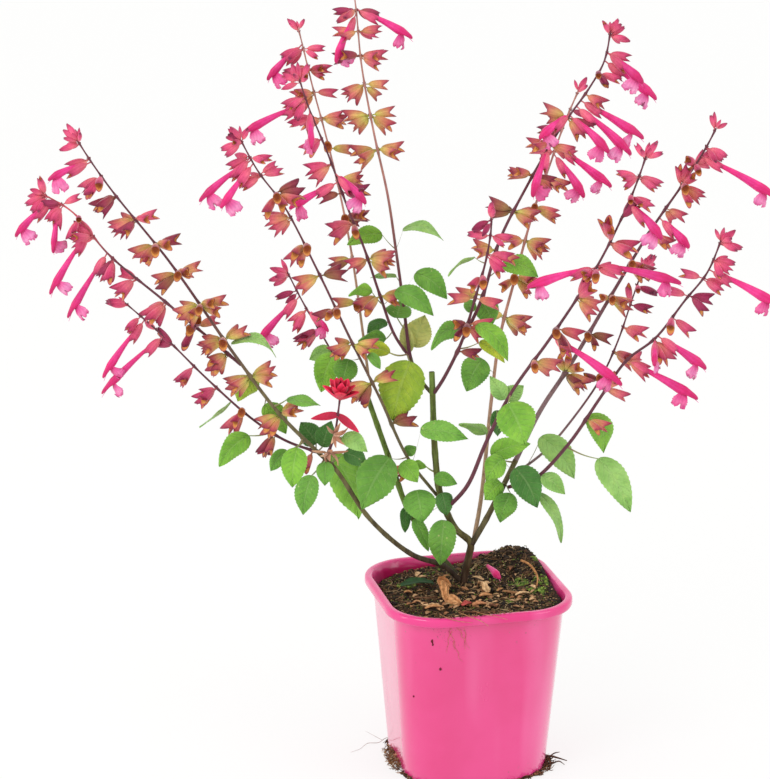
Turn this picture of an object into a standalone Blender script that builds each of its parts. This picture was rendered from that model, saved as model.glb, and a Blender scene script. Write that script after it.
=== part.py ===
"""Potted flowering sage: a bushy plant with magenta flowers in a tapered square pot.

Metres, +Z up, at real size. The origin is the centre of the pot's flat underside, and -Y is the front.
Lengths below are in millimetres, and MM turns them into metres as each mesh is made.
"""
import math
import random

import bmesh
import bpy
import numpy as np

MM = 0.001
GAP = 0.35                    # clearance between neighbouring pieces

# --- Pot -------------------------------------------------------------------------------------------
POT_HEIGHT = 137.0
POT_TURN = math.radians(13.5)  # the pot stands turned on the spot
RIM_HALF = 70.0               # half the width across the flats of the lip
RIM_CORNER = 40.0
LIP_HEIGHT = 6.5
LIP_REACH = 6.0               # how far the lip stands out from the wall
BASE_HALF = 54.0
BASE_CORNER = 33.0
WALL = 1.4
FLOOR = 2.0
CORNER_STEPS = 6
DRAIN_HOLES = 8
DRAIN_RADIUS = 5.0
DRAIN_RING = 36.0
# Profiles as (inwards is negative, height): the foot's rounding, and the lip from its underside over
# its top edge to the inside, measured down from the top.
POT_FOOT = ((-2.5, 0.0), (-0.7, 0.7), (0.0, 2.5))
POT_LIP = ((-0.8, 6.5), (0.0, 5.5), (0.0, 1.8), (-0.9, 0.4), (-2.2, 0.0), (-4.6, 0.0), (-5.6, 0.6))

# --- Soil ------------------------------------------------------------------------------------------
SOIL_LEVEL = 131.0
SOIL_SLOPE = (0.06, 0.02)     # rise per millimetre to the right and to the back
SOIL_MOUNDS = [               # x, y, height, spread
    (-3, 10, 4.0, 14),
    (38, 52, 13.0, 18),
    (56, 24, 5.0, 12),
]
SOIL_RINGS = (0.25, 0.5, 0.75, 0.92, 1.0)
SOCKET_REACH = 0.15           # how much of the crown stem the hole in the soil follows

# --- Stems -----------------------------------------------------------------------------------------
STEM_STEP = 17.0              # the length of one straight piece of a stem
# Each branch is a smooth curve through its points, from its foot to its tip, with the two end radii
# and the branches that it grows beside, which its foot keeps clear of.
BRANCHES = {
    "crown": ([(-4, 10, 114), (-3, 10, 134), (1, 7, 156), (2, 4, 168), (-9, 3, 179), (-20, 3, 204),
               (-24, 4, 232), (-27, 6, 298)], 2.8, 2.1, ()),
    "left": ([(-6, 9, 137), (-18, 1, 151), (-41, -9, 163), (-72, -22, 195), (-97, -30, 236),
              (-109, -33, 249), (-136, -38, 279), (-165, -43, 321), (-211, -50, 393),
              (-250, -56, 446), (-267, -60, 473), (-275, -62, 488)], 2.1, 0.5, ("crown",)),
    "left_outer": ([(-163, -43, 317), (-187, -30, 334), (-219, -18, 358), (-258, -8, 389),
                    (-284, 1, 418), (-311, 6, 433)], 1.2, 0.5, ("left",)),
    "left_low": ([(-109, -33, 249), (-133, -26, 256), (-158, -16, 270), (-191, -4, 297),
                  (-220, 8, 323), (-255, 20, 351)], 1.1, 0.5, ("left",)),
    "left_bud": ([(-103, -34, 245), (-97, -42, 265), (-94, -48, 285), (-92, -52, 303)],
                 1.0, 0.5, ("left",)),
    "green": ([(-8, 12, 140), (-21, 13, 156), (-43, 14, 188), (-55, 18, 220), (-75, 24, 277)],
              2.2, 2.0, ("crown", "left")),
    "inner": ([(-23, 6, 204), (-44, 0, 234), (-65, -8, 283), (-85, -16, 327), (-108, -26, 380),
               (-132, -36, 431), (-149, -42, 456), (-164, -48, 486)], 1.3, 0.5, ("crown",)),
    "inner_side": ([(-77, 26, 273), (-90, 30, 289), (-107, 38, 317), (-121, 44, 340),
                    (-136, 52, 368)], 0.9, 0.5, ("green",)),
    "centre": ([(-26, 5, 281), (-33, 14, 287), (-40, 22, 297), (-43, 30, 306), (-47, 36, 337),
                (-53, 44, 380), (-59, 52, 419), (-69, 62, 463), (-78, 72, 511), (-82, 80, 551),
                (-85, 84, 572)], 1.5, 0.5, ("crown",)),
    "centre_dark": ([(-42, 27, 302), (-54, 24, 321), (-65, 20, 353), (-76, 15, 388), (-87, 10, 417),
                     (-101, 4, 458), (-115, -4, 495), (-123, -10, 522)], 1.2, 0.5, ("centre",)),
    "centre_pale": ([(-73, -10, 300), (-78, 34, 326), (-85, 56, 371), (-94, 76, 414),
                     (-105, 94, 456), (-115, 106, 491), (-123, 114, 523), (-127, 118, 538)],
                    1.1, 0.5, ("inner",)),
    "middle": ([(-25, 4, 283), (-18, -4, 297), (-6, -16, 327), (3, -30, 363), (10, -42, 394),
                (13, -50, 420), (12, -54, 433)], 1.3, 0.5, ("crown",)),
    "middle_tall": ([(-5, -16, 329), (8, -12, 357), (21, -4, 399), (39, 4, 434), (63, 12, 475),
                     (85, 20, 505), (95, 24, 523), (100, 28, 550)], 1.2, 0.5, ("middle",)),
    "back": ([(4, 4, 167), (10, 16, 198), (18, 42, 268), (24, 56, 310), (36, 68, 355),
              (49, 80, 401), (60, 88, 431), (73, 96, 467), (85, 102, 494)], 1.6, 0.5, ("crown", "right")),
    "right_inner": ([(-16, 0, 195), (-1, -14, 218), (12, -26, 255), (29, -40, 296), (56, -54, 341),
                     (86, -70, 396), (105, -82, 442), (113, -88, 467), (117, -92, 483)],
                    1.5, 0.5, ("crown",)),
    "right": ([(3, 3, 167), (13, 4, 185), (27, 10, 212), (35, 14, 228), (53, 24, 263), (75, 34, 295),
               (104, 46, 343), (134, 56, 392), (157, 62, 425), (173, 66, 450), (184, 68, 472)],
              2.1, 0.5, ("crown",)),
    "right_back": ([(33, 12, 217), (58, 30, 231), (81, 48, 253), (100, 60, 278), (113, 72, 303),
                    (124, 84, 332), (135, 92, 363)], 1.1, 0.5, ("right",)),
    "right_outer": ([(30, 10, 209), (47, -2, 218), (71, -16, 249), (93, -32, 290), (110, -42, 320),
                     (129, -52, 339), (148, -62, 369), (162, -70, 391), (172, -76, 421)],
                    1.4, 0.5, ("right",)),
}
# Woody pieces without flowers: branch, and the stretch of it as fractions of its length.
WOODY = {
    "crown_stem": ("crown", 0.0, 1.0),
    "green_cut_stem": ("green", 0.0, 1.0),
    "left_woody_stem": ("left", 0.0, 0.352),
    "right_woody_stem": ("right", 0.0, 0.195),
    "centre_side_arm": ("centre", 0.0, 0.115),
}
# Flowering shoots: branch, where the shoot starts on it, and its whorls of calyces from the tip down.
# Each letter is one calyx and says where it points: L left, R right, F front, B back, U up the shoot,
# l and r left and right with a droop, d down.
SHOOTS = {
    "left_high_shoot": ("left", 0.353, "UL Ll LF Ll LLlR LRlF LlRF LlRF LLlRF LLlRr LlR lR"),
    "left_outer_shoot": ("left_outer", 0.0, "ULl URl dF UL ld LU Ll FR ll"),
    "left_low_shoot": ("left_low", 0.0, "UU lR U U ll Ll lF ll l"),
    "left_bud_shoot": ("left_bud", 0.0, "UF LR Fd lrF"),
    "inner_left_shoot": ("inner", 0.0, "UULl LR RL FRr Ll Fl LlR LF LLR LlRd R L"),
    "inner_side_shoot": ("inner_side", 0.0, "UUL L ld Ll"),
    "centre_tall_shoot": ("centre", 0.118, "LR LlR LRR LRR llR LlRr LlRr"),
    "centre_dark_shoot": ("centre_dark", 0.0, "UL Ll L l Ll LR LF LRR LlR"),
    "centre_pale_shoot": ("centre_pale", 0.0, "U RL LRLF LlR LRR FR RR FRR Ll LF"),
    "middle_short_shoot": ("middle", 0.0, "Ul LR R F LR RF R"),
    "middle_tall_shoot": ("middle_tall", 0.0, "UR R FR R RrL RL RRLl RRL Lr L LRFR"),
    "back_shoot": ("back", 0.0, "U R L RL R FRr LRr FRr LRr"),
    "right_inner_shoot": ("right_inner", 0.0, "UU LRr Fr U UR FR UR FRd FR"),
    "right_tall_shoot": ("right", 0.196, "U Rr FU FURr R RR FRr FRr FR URr"),
    "right_back_shoot": ("right_back", 0.0, "U FR UR R r F"),
    "right_outer_shoot": ("right_outer", 0.0, "UR Rr LR LR Fr r Rr UR R"),
}
FIRST_WHORL = 10.0            # from the tip of a shoot to its first whorl
WHORL_GROWTH = 2.6            # each gap below it is this much longer than the one above
CALYX_LENGTH = 18.5
CALYX_MOUTH = 3.5
CALYX_STALK = 0.6
CALYX_SIDES = 5
CALYX_AIMS = {
    "L": (-1.0, 0.0, 0.0), "R": (1.0, 0.0, 0.0), "F": (0.0, -1.0, 0.15), "B": (0.0, 1.0, 0.0),
    "l": (-0.8, -0.15, -0.6), "r": (0.8, -0.15, -0.6), "d": (0.0, -0.3, -1.0),
}
# Open flowers: how far below the shoot's tip each one grows, and from there to its upper lip.
FLOWERS = {
    "left_high_shoot": [(25, (-29, -10, -11))],
    "left_outer_shoot": [(15, (-27, -6, -26)), (20, (-4, -12, -34)), (50, (-29, -6, -45)),
                         (70, (-30, 4, -49))],
    "left_low_shoot": [(26, (-31, -4, -43)), (44, (-46, 4, -45))],
    "inner_left_shoot": [(24, (-36, -8, -28)), (27, (-22, -18, -28))],
    "inner_side_shoot": [(27, (-31, -8, -33)), (38, (16, -12, -14))],
    "centre_dark_shoot": [(26, (-46, -10, -21)), (31, (2, -19, -25)), (83, (22, -12, -20)),
                          (90, (-35, -4, -19))],
    "centre_pale_shoot": [(19, (-26, -6, -26))],
    "centre_tall_shoot": [(24, (-15, -12, -35)), (21, (41, 0, -22))],
    "middle_tall_shoot": [(22, (25, -14, -20)), (28, (38, 4, -29)), (61, (46, 6, -29)),
                          (66, (39, -8, -34)), (74, (27, -18, -24)), (72, (-23, -10, -17)),
                          (101, (-12, -16, -33))],
    "back_shoot": [(51, (41, -6, -30)), (57, (22, -16, -30))],
    "right_inner_shoot": [(97, (-48, -6, -13)), (95, (57, -10, -11)), (43, (22, -14, -23)),
                          (160, (49, -14, -32))],
    "right_tall_shoot": [(84, (21, -14, -20)), (30, (57, -8, -31))],
    "right_outer_shoot": [(30, (49, -8, -25)), (94, (35, 2, -25)), (97, (-2, -22, -14)),
                          (125, (50, -10, -26))],
}
TUBE_RADII = ((0.22, 1.4), (0.74, 3.0), (1.0, 1.3))   # along the flower, radius
LIP_AT = 0.80                 # where the lower lip hangs from the flower's tube
LIP_SIZE = (4.0, 2.0, 5.0)

# --- Leaves ----------------------------------------------------------------------------------------
# For each branch: where along it the leaf grows, from there to the foot of the blade, from that foot
# to the blade's tip, the blade's width, how far it is turned about its midrib, and how much it arches.
LEAVES = {
    "left": [
        (0.34, (-9, -18, -7), (-7, -6, -28), 17, -10, 0.10),
        (0.33, (-2, -12, 4), (-1, -8, -15), 13, 5, 0.10),
        (0.32, (-1, 14, 5), (20, 10, -53), 29, -12, 0.08),
        (0.39, (-4, -11, -4), (-4, -6, -28), 19, 10, 0.10),
        (0.36, (0, 9, 2), (-11, 6, 15), 18, 10, 0.06),
        (0.52, (2, 9, -2), (-15, 3, -17), 19, 20, 0.08),
        (0.48, (-2, 8, -8), (18, 4, -21), 16, 20, 0.08),
        (0.58, (1, 2, 3), (32, 4, -10), 12, 72, 0.30),
    ],
    "left_low": [
        (0.20, (-16, -4, -1), (-23, -8, -19), 18, 15, 0.10),
    ],
    "inner": [
        (0.12, (-13, -14, 4), (-21, -16, -34), 30, 8, 0.08),
        (0.10, (6, -17, 31), (35, -4, -3), 16, 35, 0.06),
        (0.39, (-8, 9, -3), (-5, -4, -18), 18, 10, 0.08),
    ],
    "green": [
        (0.46, (10, -20, 13), (4, -10, -22), 24, 10, 0.06),
    ],
    "crown": [
        (0.33, (-14, -13, 16), (-3, -7, -33), 21, 8, 0.08),
    ],
    "back": [
        (0.36, (-9, -10, 14), (-13, -8, -22), 22, 5, 0.10),
    ],
    "centre_dark": [
        (0.02, (2, -20, 0), (-13, -6, -44), 33, -5, 0.08),
        (0.20, (9, -7, 13), (28, -8, -16), 16, 15, 0.12),
        (0.02, (-13, -22, 7), (-23, -4, 7), 13, 20, 0.06),
    ],
    "inner_side": [
        (0.19, (-8, -8, 18), (-10, -8, -27), 20, 10, 0.10),
    ],
    "centre": [
        (0.37, (-10, 2, 11), (-26, 0, -7), 15, 15, 0.12),
        (0.37, (5, 0, 15), (30, -4, -5), 12, 62, 0.22),
        (0.27, (10, -2, 15), (24, -6, -17), 17, 15, 0.12),
        (0.14, (4, 8, -2), (7, 8, 23), 21, 10, 0.05),
    ],
    "middle": [
        (0.27, (5, 4, 14), (-26, -4, -12), 16, 25, 0.22),
        (0.34, (9, -9, 11), (24, -6, -24), 14, 20, 0.16),
    ],
    "middle_tall": [
        (0.08, (5, 10, 6), (9, -4, -15), 19, -15, 0.06),
        (0.19, (10, 8, 8), (27, 6, -10), 15, 10, 0.14),
    ],
    "right_inner": [
        (0.35, (-2, -6, -5), (13, -10, -27), 28, 10, 0.08),
    ],
    "right": [
        (0.19, (-18, -11, 9), (27, -6, 13), 16, 15, 0.05),
        (0.175, (-7, -21, 15), (-14, -8, -14), 18, 10, 0.06),
        (0.162, (4, -18, 11), (18, -10, -26), 22, 10, 0.08),
        (0.145, (4, -8, -6), (-9, -4, -21), 18, 10, 0.08),
    ],
    "right_back": [
        (0.07, (10, -2, 23), (26, -6, -30), 20, 15, 0.10),
    ],
    "right_outer": [
        (0.03, (15, -8, -3), (18, -8, -36), 12, 50, 0.18),
        (0.23, (23, -6, -7), (24, -8, -38), 20, 20, 0.08),
        (0.33, (3, 7, 2), (16, 8, -30), 18, 15, 0.12),
    ],
}
BLADE = ((0.0, 0.12), (0.16, 0.72), (0.42, 1.0), (0.72, 0.68), (1.0, 0.05))   # along, width
BLADE_KEEL = 0.14             # how far the blade's edges stand above its midrib, by its width
LEAF_THICKNESS = 0.7
STALK_WIDTH = 1.2

# --- Colours: base colour, roughness ---------------------------------------------------------------
COLOURS = {
    "pot_plastic": ((0.84, 0.07, 0.30), 0.32),
    "peat": ((0.045, 0.028, 0.018), 0.95),
    "bark": ((0.13, 0.10, 0.055), 0.7),
    "green_stem": ((0.12, 0.16, 0.05), 0.6),
    "shoot": ((0.52, 0.10, 0.12), 0.55),
    "leaf": ((0.13, 0.32, 0.05), 0.5),
}


def material(name):
    """The named material, made once."""
    found = bpy.data.materials.get(name)
    if found:
        return found
    colour, roughness = COLOURS[name]
    made = bpy.data.materials.new(name)
    made.use_nodes = True
    shader = made.node_tree.nodes["Principled BSDF"]
    shader.inputs["Base Color"].default_value = (*colour, 1.0)
    shader.inputs["Roughness"].default_value = roughness
    return made


def add_object(name, verts, faces, material_name, smooth=False):
    """A mesh object from points in millimetres, with its faces turned outwards."""
    mesh = bpy.data.meshes.new(name)
    mesh.from_pydata([tuple(v * MM for v in p) for p in verts], [], faces)
    work = bmesh.new()
    work.from_mesh(mesh)
    bmesh.ops.recalc_face_normals(work, faces=work.faces)
    work.to_mesh(mesh)
    work.free()
    if smooth:
        mesh.shade_smooth()
    mesh.materials.append(material(material_name))
    obj = bpy.data.objects.new(name, mesh)
    bpy.context.scene.collection.objects.link(obj)
    return obj


def unit(vector):
    return vector / np.linalg.norm(vector)


# --- Curves ----------------------------------------------------------------------------------------
def between(a, b, share):
    return a + (b - a) * share


def smooth_curve(points, steps=12):
    """A centripetal Catmull-Rom curve through the points."""
    pts = np.array(points, float)
    pts = np.vstack([2 * pts[0] - pts[1], pts, 2 * pts[-1] - pts[-2]])
    curve = []
    for p0, p1, p2, p3 in zip(pts, pts[1:], pts[2:], pts[3:]):
        t1 = math.dist(p0, p1) ** 0.5
        t2 = t1 + math.dist(p1, p2) ** 0.5
        t3 = t2 + math.dist(p2, p3) ** 0.5
        for t in np.linspace(t1, t2, steps, endpoint=False):
            a1 = between(p0, p1, t / t1)
            a2 = between(p1, p2, (t - t1) / (t2 - t1))
            a3 = between(p2, p3, (t - t2) / (t3 - t2))
            b1 = between(a1, a2, t / t2)
            b2 = between(a2, a3, (t - t1) / (t3 - t1))
            curve.append(between(b1, b2, (t - t1) / (t2 - t1)))
    curve.append(pts[-2])
    return np.array(curve)


class Branch:
    """A stem's centre line, with its place, direction and radius at any fraction of its length."""

    def __init__(self, points, foot_radius, tip_radius, beside):
        self.line = smooth_curve(points)
        steps = np.linalg.norm(np.diff(self.line, axis=0), axis=1)
        self.reach = np.concatenate([[0.0], np.cumsum(steps)])
        self.length = self.reach[-1]
        self.radii = (foot_radius, tip_radius)
        self.beside = beside

    def at(self, fraction):
        reach = fraction * self.length
        return np.array([np.interp(reach, self.reach, self.line[:, axis]) for axis in range(3)])

    def direction(self, fraction):
        return unit(self.at(min(fraction + 0.01, 1.0)) - self.at(max(fraction - 0.01, 0.0)))

    def radius(self, fraction):
        return between(*self.radii, fraction)

    def distance(self, point):
        """How far a point is from the surface of the stem."""
        fractions = self.reach / self.length
        gaps = np.linalg.norm(self.line - point, axis=1) - self.radius(fractions)
        return gaps.min()


def clear_foot(branch, branches):
    """The fraction at which a branch's cut foot is clear of the branches that it grows beside."""
    fraction = 0.0
    while fraction < 0.5:
        centre = branch.at(fraction)
        reach = branch.radius(fraction) + 2 * GAP
        if all(branches[name].distance(centre) > reach for name in branch.beside):
            return fraction
        fraction += 0.5 / branch.length
    return fraction


def cross_frames(points):
    """Two side vectors for each point of a path, turned as little as possible along the way."""
    points = np.array(points, float)
    side = np.array((0.31, 0.9, 0.3))
    frames = []
    for tangent in np.gradient(points, axis=0):
        tangent = unit(tangent)
        side = unit(side - np.dot(side, tangent) * tangent)
        frames.append((side, np.cross(tangent, side)))
    return frames


# --- Closed shapes ---------------------------------------------------------------------------------
def loft(rings):
    """One closed shape through rings of equal length, with a flat cap at each end."""
    count = len(rings[0])
    verts = [p for ring in rings for p in ring]
    last = (len(rings) - 1) * count
    faces = []
    for start in range(0, last, count):
        for i in range(count):
            j = (i + 1) % count
            faces.append((start + i, start + j, start + count + j, start + count + i))
    faces.append(tuple(reversed(range(count))))
    faces.append(tuple(range(last, last + count)))
    return verts, faces


def tube(points, radii, sides, squeeze=1.0):
    """A closed round tube along a path; squeeze flattens its cross-section."""
    rings = []
    for point, radius, (across, up) in zip(points, radii, cross_frames(points)):
        ring = []
        for i in range(sides):
            angle = 2 * math.pi * i / sides
            spoke = math.cos(angle) * across + squeeze * math.sin(angle) * up
            ring.append(point + radius * spoke)
        rings.append(ring)
    return loft(rings)


def joined(shapes):
    """Several closed shapes as one list of points and one of faces."""
    verts = []
    faces = []
    for shape_verts, shape_faces in shapes:
        offset = len(verts)
        verts.extend(shape_verts)
        faces.extend(tuple(i + offset for i in face) for face in shape_faces)
    return verts, faces


def combine(obj, name, shape, operation):
    """Cuts a shape from an object or joins it on, with a hidden tool object."""
    tool = add_object(name, *shape, obj.data.materials[0].name)
    tool.hide_render = True
    tool.display_type = "WIRE"
    change = obj.modifiers.new(name, "BOOLEAN")
    change.operation = operation
    change.solver = "EXACT"
    change.use_self = True
    change.object = tool


# --- Pot and soil ----------------------------------------------------------------------------------
def rounded_square(half, corner, z):
    """The pot's outline at one height, turned as the pot stands."""
    ring = []
    for quarter in range(4):
        diagonal = math.pi / 4 + quarter * math.pi / 2
        centre_x = math.copysign(half - corner, math.cos(diagonal))
        centre_y = math.copysign(half - corner, math.sin(diagonal))
        for step in range(CORNER_STEPS + 1):
            angle = (quarter + step / CORNER_STEPS) * math.pi / 2
            x = centre_x + corner * math.cos(angle)
            y = centre_y + corner * math.sin(angle)
            turned_x = x * math.cos(POT_TURN) - y * math.sin(POT_TURN)
            turned_y = x * math.sin(POT_TURN) + y * math.cos(POT_TURN)
            ring.append(np.array([turned_x, turned_y, z]))
    return ring


def wall_ring(z, inset):
    """The outline of the pot's tapered wall at a height, moved in or out."""
    share = z / (POT_HEIGHT - LIP_HEIGHT)
    half = between(BASE_HALF, RIM_HALF - LIP_REACH, share)
    corner = between(BASE_CORNER, RIM_CORNER - LIP_REACH, share)
    return rounded_square(half + inset, corner + inset, z)


def pot():
    under_lip = POT_HEIGHT - LIP_HEIGHT
    rings = [wall_ring(z, inset) for inset, z in POT_FOOT]
    rings.append(wall_ring(under_lip, 0.0))
    for inset, below_top in POT_LIP:
        rings.append(rounded_square(RIM_HALF + inset, RIM_CORNER + inset, POT_HEIGHT - below_top))
    for z in (under_lip, FLOOR):
        rings.append(wall_ring(z, -WALL))
    obj = add_object("pot", *loft(rings), "pot_plastic")
    drills = []
    for hole in range(DRAIN_HOLES):
        angle = POT_TURN + 2 * math.pi * (hole + 0.5) / DRAIN_HOLES
        centre = np.array([DRAIN_RING * math.cos(angle), DRAIN_RING * math.sin(angle), 0.0])
        ends = [centre + (0, 0, -5), centre + (0, 0, FLOOR + 5)]
        drills.append(tube(ends, (DRAIN_RADIUS, DRAIN_RADIUS), 10))
    combine(obj, "drain_holes", joined(drills), "DIFFERENCE")


def soil_height(x, y):
    height = SOIL_LEVEL + SOIL_SLOPE[0] * x + SOIL_SLOPE[1] * y
    for mound_x, mound_y, rise, spread in SOIL_MOUNDS:
        away = math.hypot(x - mound_x, y - mound_y) / spread
        height += rise * math.exp(-away * away / 2)
    return height


def potting_soil(crown):
    rings = [wall_ring(FLOOR + GAP, -WALL - GAP)]
    outline = wall_ring(SOIL_LEVEL - 6, -WALL - GAP)
    for scale in reversed(SOIL_RINGS):
        spots = [(x * scale, y * scale) for x, y, _ in outline]
        rings.append([np.array([x, y, soil_height(x, y)]) for x, y in spots])
    obj = add_object("potting_soil", *loft(rings), "peat")
    fractions = np.linspace(0.0, SOCKET_REACH, 5)
    socket = [crown.at(f) for f in fractions]
    socket[0] -= crown.direction(0.0) * GAP
    radii = [crown.radius(f) + 2 * GAP for f in fractions]
    combine(obj, "crown_socket", tube(socket, radii, 12), "DIFFERENCE")


# --- Stems and shoots ------------------------------------------------------------------------------
def stem_shape(branch, start, end, sides):
    count = max(3, round((end - start) * branch.length / STEM_STEP))
    fractions = np.linspace(start, end, count + 1)
    return tube([branch.at(f) for f in fractions], [branch.radius(f) for f in fractions], sides)


def calyx(root, direction, length):
    """A closed bell, from its thin stalk inside the stem to its mouth."""
    mouth = CALYX_MOUTH * length / CALYX_LENGTH
    return tube([root, root + direction * length], (CALYX_STALK, mouth), CALYX_SIDES, 0.8)


def flower(root, vector):
    """An open flower's tube, and the lower lip that hangs from it."""
    points = [root + vector * share for share, _ in TUBE_RADII]
    shape = tube(points, [radius for _, radius in TUBE_RADII], CALYX_SIDES)
    along = unit(vector)
    down = unit(np.array([0.0, 0.0, -1.0]) + along * along[2])
    across = np.cross(along, down)
    width, depth, drop = LIP_SIZE
    lip = []
    for lowered, spread in ((-0.2, 0.6), (1.0, 1.0), (1.7, 0.3)):
        middle = root + vector * LIP_AT + down * drop * lowered
        corners = ((width, 0), (0, depth), (-width, 0), (0, -depth))
        lip.append([middle + spread * (a * across + b * along) for a, b in corners])
    return [shape, loft(lip)]


def calyx_direction(letter, tangent, rng):
    """Where a calyx points: half along its letter's own direction, half square to the stem."""
    jitter = np.array([rng.uniform(-1, 1), rng.uniform(-1, 1), rng.uniform(-1, 1)])
    if letter == "U":
        return unit(tangent + 0.5 * jitter)
    aim = unit(np.array(CALYX_AIMS[letter]))
    square = unit(aim - np.dot(aim, tangent) * tangent)
    return unit(aim + square + 0.3 * jitter)


def whorls(branch, start, words):
    """Each calyx of a shoot: its root, direction and length, whorl by whorl from the tip down."""
    below_tip = 0.0
    for number, word in enumerate(words.split()):
        below_tip += FIRST_WHORL + WHORL_GROWTH * number
        fraction = 1.0 - below_tip / branch.length
        rng = random.Random(f"{words} {number}")
        length = CALYX_LENGTH * min(1.0, 0.8 + 0.07 * number)
        for letter in word:
            direction = calyx_direction(letter, branch.direction(fraction), rng)
            size = length * rng.uniform(0.88, 1.08)
            if fraction > start + 0.02:
                yield branch.at(fraction), direction, size


def flowering_shoot(name, branch, start, words):
    obj = add_object(name, *stem_shape(branch, start, 1.0, 5), "shoot")
    parts = [calyx(*place) for place in whorls(branch, start, words)]
    for below_tip, vector in FLOWERS.get(name, ()):
        root = branch.at(1.0 - below_tip / branch.length)
        vector = np.array(vector, float)
        parts.append(calyx(root, unit(vector), CALYX_LENGTH))
        parts.extend(flower(root, vector))
    combine(obj, name + "_flowers", joined(parts), "UNION")


# --- Leaves ----------------------------------------------------------------------------------------
def square_to(vector, along):
    """The part of a vector that is square to a direction, at unit length."""
    return unit(vector - np.dot(vector, along) * along)


def leaf_sheet(root, foot, vector, width, turn, arch):
    """A stalk and a blade as one sheet, three points across at each station."""
    along = unit(vector)
    flat = unit(np.cross(along, (0.0, -1.0, 0.0)))
    front = np.cross(flat, along)
    turn = math.radians(turn)
    across = flat * math.cos(turn) + front * math.sin(turn)
    face = front * math.cos(turn) - flat * math.sin(turn)
    rise = square_to(np.array((0.0, -0.35, 1.0)), along)
    stalk_across = np.cross(unit(foot - root), face)
    stalk_across = unit(stalk_across) if np.linalg.norm(stalk_across) > 0.3 else across
    thin = STALK_WIDTH / 2
    stations = [(between(root, foot, share), stalk_across, thin, 0.0) for share in (0.0, 0.6)]
    for share, spread in BLADE:
        bow = arch * np.linalg.norm(vector) * math.sin(math.pi * share)
        half = max(width / 2 * spread, thin)
        stations.append((foot + vector * share + rise * bow, across, half, BLADE_KEEL * half))
    verts = []
    faces = []
    for middle, side, half, lift in stations:
        verts.extend([middle - side * half + face * lift, middle, middle + side * half + face * lift])
    for row in range(0, len(verts) - 3, 3):
        faces.append((row, row + 1, row + 4, row + 3))
        faces.append((row + 1, row + 2, row + 5, row + 4))
    return verts, faces


def leaf(number, branch, fraction, to_blade, vector, width, turn, arch):
    centre = branch.at(fraction)
    to_blade = np.array(to_blade, float)
    slant = np.linalg.norm(np.cross(unit(to_blade), branch.direction(fraction)))
    clear = branch.radius(fraction) + GAP + STALK_WIDTH / 2
    root = centre + unit(to_blade) * clear / max(slant, 0.5)
    sheet = leaf_sheet(root, centre + to_blade, np.array(vector, float), width, turn, arch)
    obj = add_object(f"leaf_{number:02d}", *sheet, "leaf", smooth=True)
    thick = obj.modifiers.new("thickness", "SOLIDIFY")
    thick.thickness = LEAF_THICKNESS * MM
    thick.offset = 0.0


# --- The whole plant -------------------------------------------------------------------------------
def build():
    branches = {name: Branch(*values) for name, values in BRANCHES.items()}
    feet = {name: clear_foot(branch, branches) for name, branch in branches.items()}
    pot()
    potting_soil(branches["crown"])
    for name, (branch_name, start, end) in WOODY.items():
        branch = branches[branch_name]
        shape = stem_shape(branch, max(start, feet[branch_name]), end, 8)
        material_name = "green_stem" if branch_name == "green" else "bark"
        add_object(name, *shape, material_name, smooth=True)
    for name, (branch_name, start, words) in SHOOTS.items():
        flowering_shoot(name, branches[branch_name], max(start, feet[branch_name]), words)
    number = 0
    for branch_name, leaves in LEAVES.items():
        for values in leaves:
            number += 1
            leaf(number, branches[branch_name], *values)


for old in list(bpy.data.objects):
    bpy.data.objects.remove(old)
build()
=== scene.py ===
"""The looks of the potted flowering sage: fine meshes, materials, floor, light and camera.

Lengths are in millimetres, turned into metres as each mesh is made. The plant's branches, whorls,
flowers and leaves follow the same lists and rules as the CAD part, so each piece lies where its CAD
solid is.
"""
import math
import random

import bmesh
import bpy
import numpy as np
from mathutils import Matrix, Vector, noise


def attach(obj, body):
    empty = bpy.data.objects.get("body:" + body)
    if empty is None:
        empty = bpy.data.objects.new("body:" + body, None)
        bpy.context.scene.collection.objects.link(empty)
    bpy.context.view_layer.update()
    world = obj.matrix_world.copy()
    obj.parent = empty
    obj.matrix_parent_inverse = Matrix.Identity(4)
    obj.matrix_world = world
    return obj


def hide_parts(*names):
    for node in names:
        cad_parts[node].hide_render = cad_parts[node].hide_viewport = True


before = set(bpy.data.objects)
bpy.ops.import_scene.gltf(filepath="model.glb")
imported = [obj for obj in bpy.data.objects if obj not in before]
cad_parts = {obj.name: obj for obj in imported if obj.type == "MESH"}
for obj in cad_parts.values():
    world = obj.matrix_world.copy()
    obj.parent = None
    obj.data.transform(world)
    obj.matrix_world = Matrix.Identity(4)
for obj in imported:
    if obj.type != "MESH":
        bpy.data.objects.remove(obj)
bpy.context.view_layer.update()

MM = 0.001
UP = np.array([0.0, 0.0, 1.0])
SHARP_ANGLE = math.radians(50)


def srgb(red, green, blue):
    """A display colour, 0 to 255, as the linear values that shaders take."""
    share = np.array([red, green, blue]) / 255
    return np.where(share > 0.04045, ((share + 0.055) / 1.055) ** 2.4, share / 12.92)


# --- Pot and soil ----------------------------------------------------------------------------------
POT_HEIGHT = 137.0
POT_TURN = math.radians(13.5)
RIM_HALF = 70.0
RIM_CORNER = 40.0
LIP_HEIGHT = 6.5
LIP_REACH = 6.0
BASE_HALF = 54.0
BASE_CORNER = 33.0
WALL = 1.4
FLOOR = 2.0
CORNER_STEPS = 14
DRAIN_HOLES = 8
DRAIN_RADIUS = 5.0
DRAIN_RING = 36.0
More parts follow.
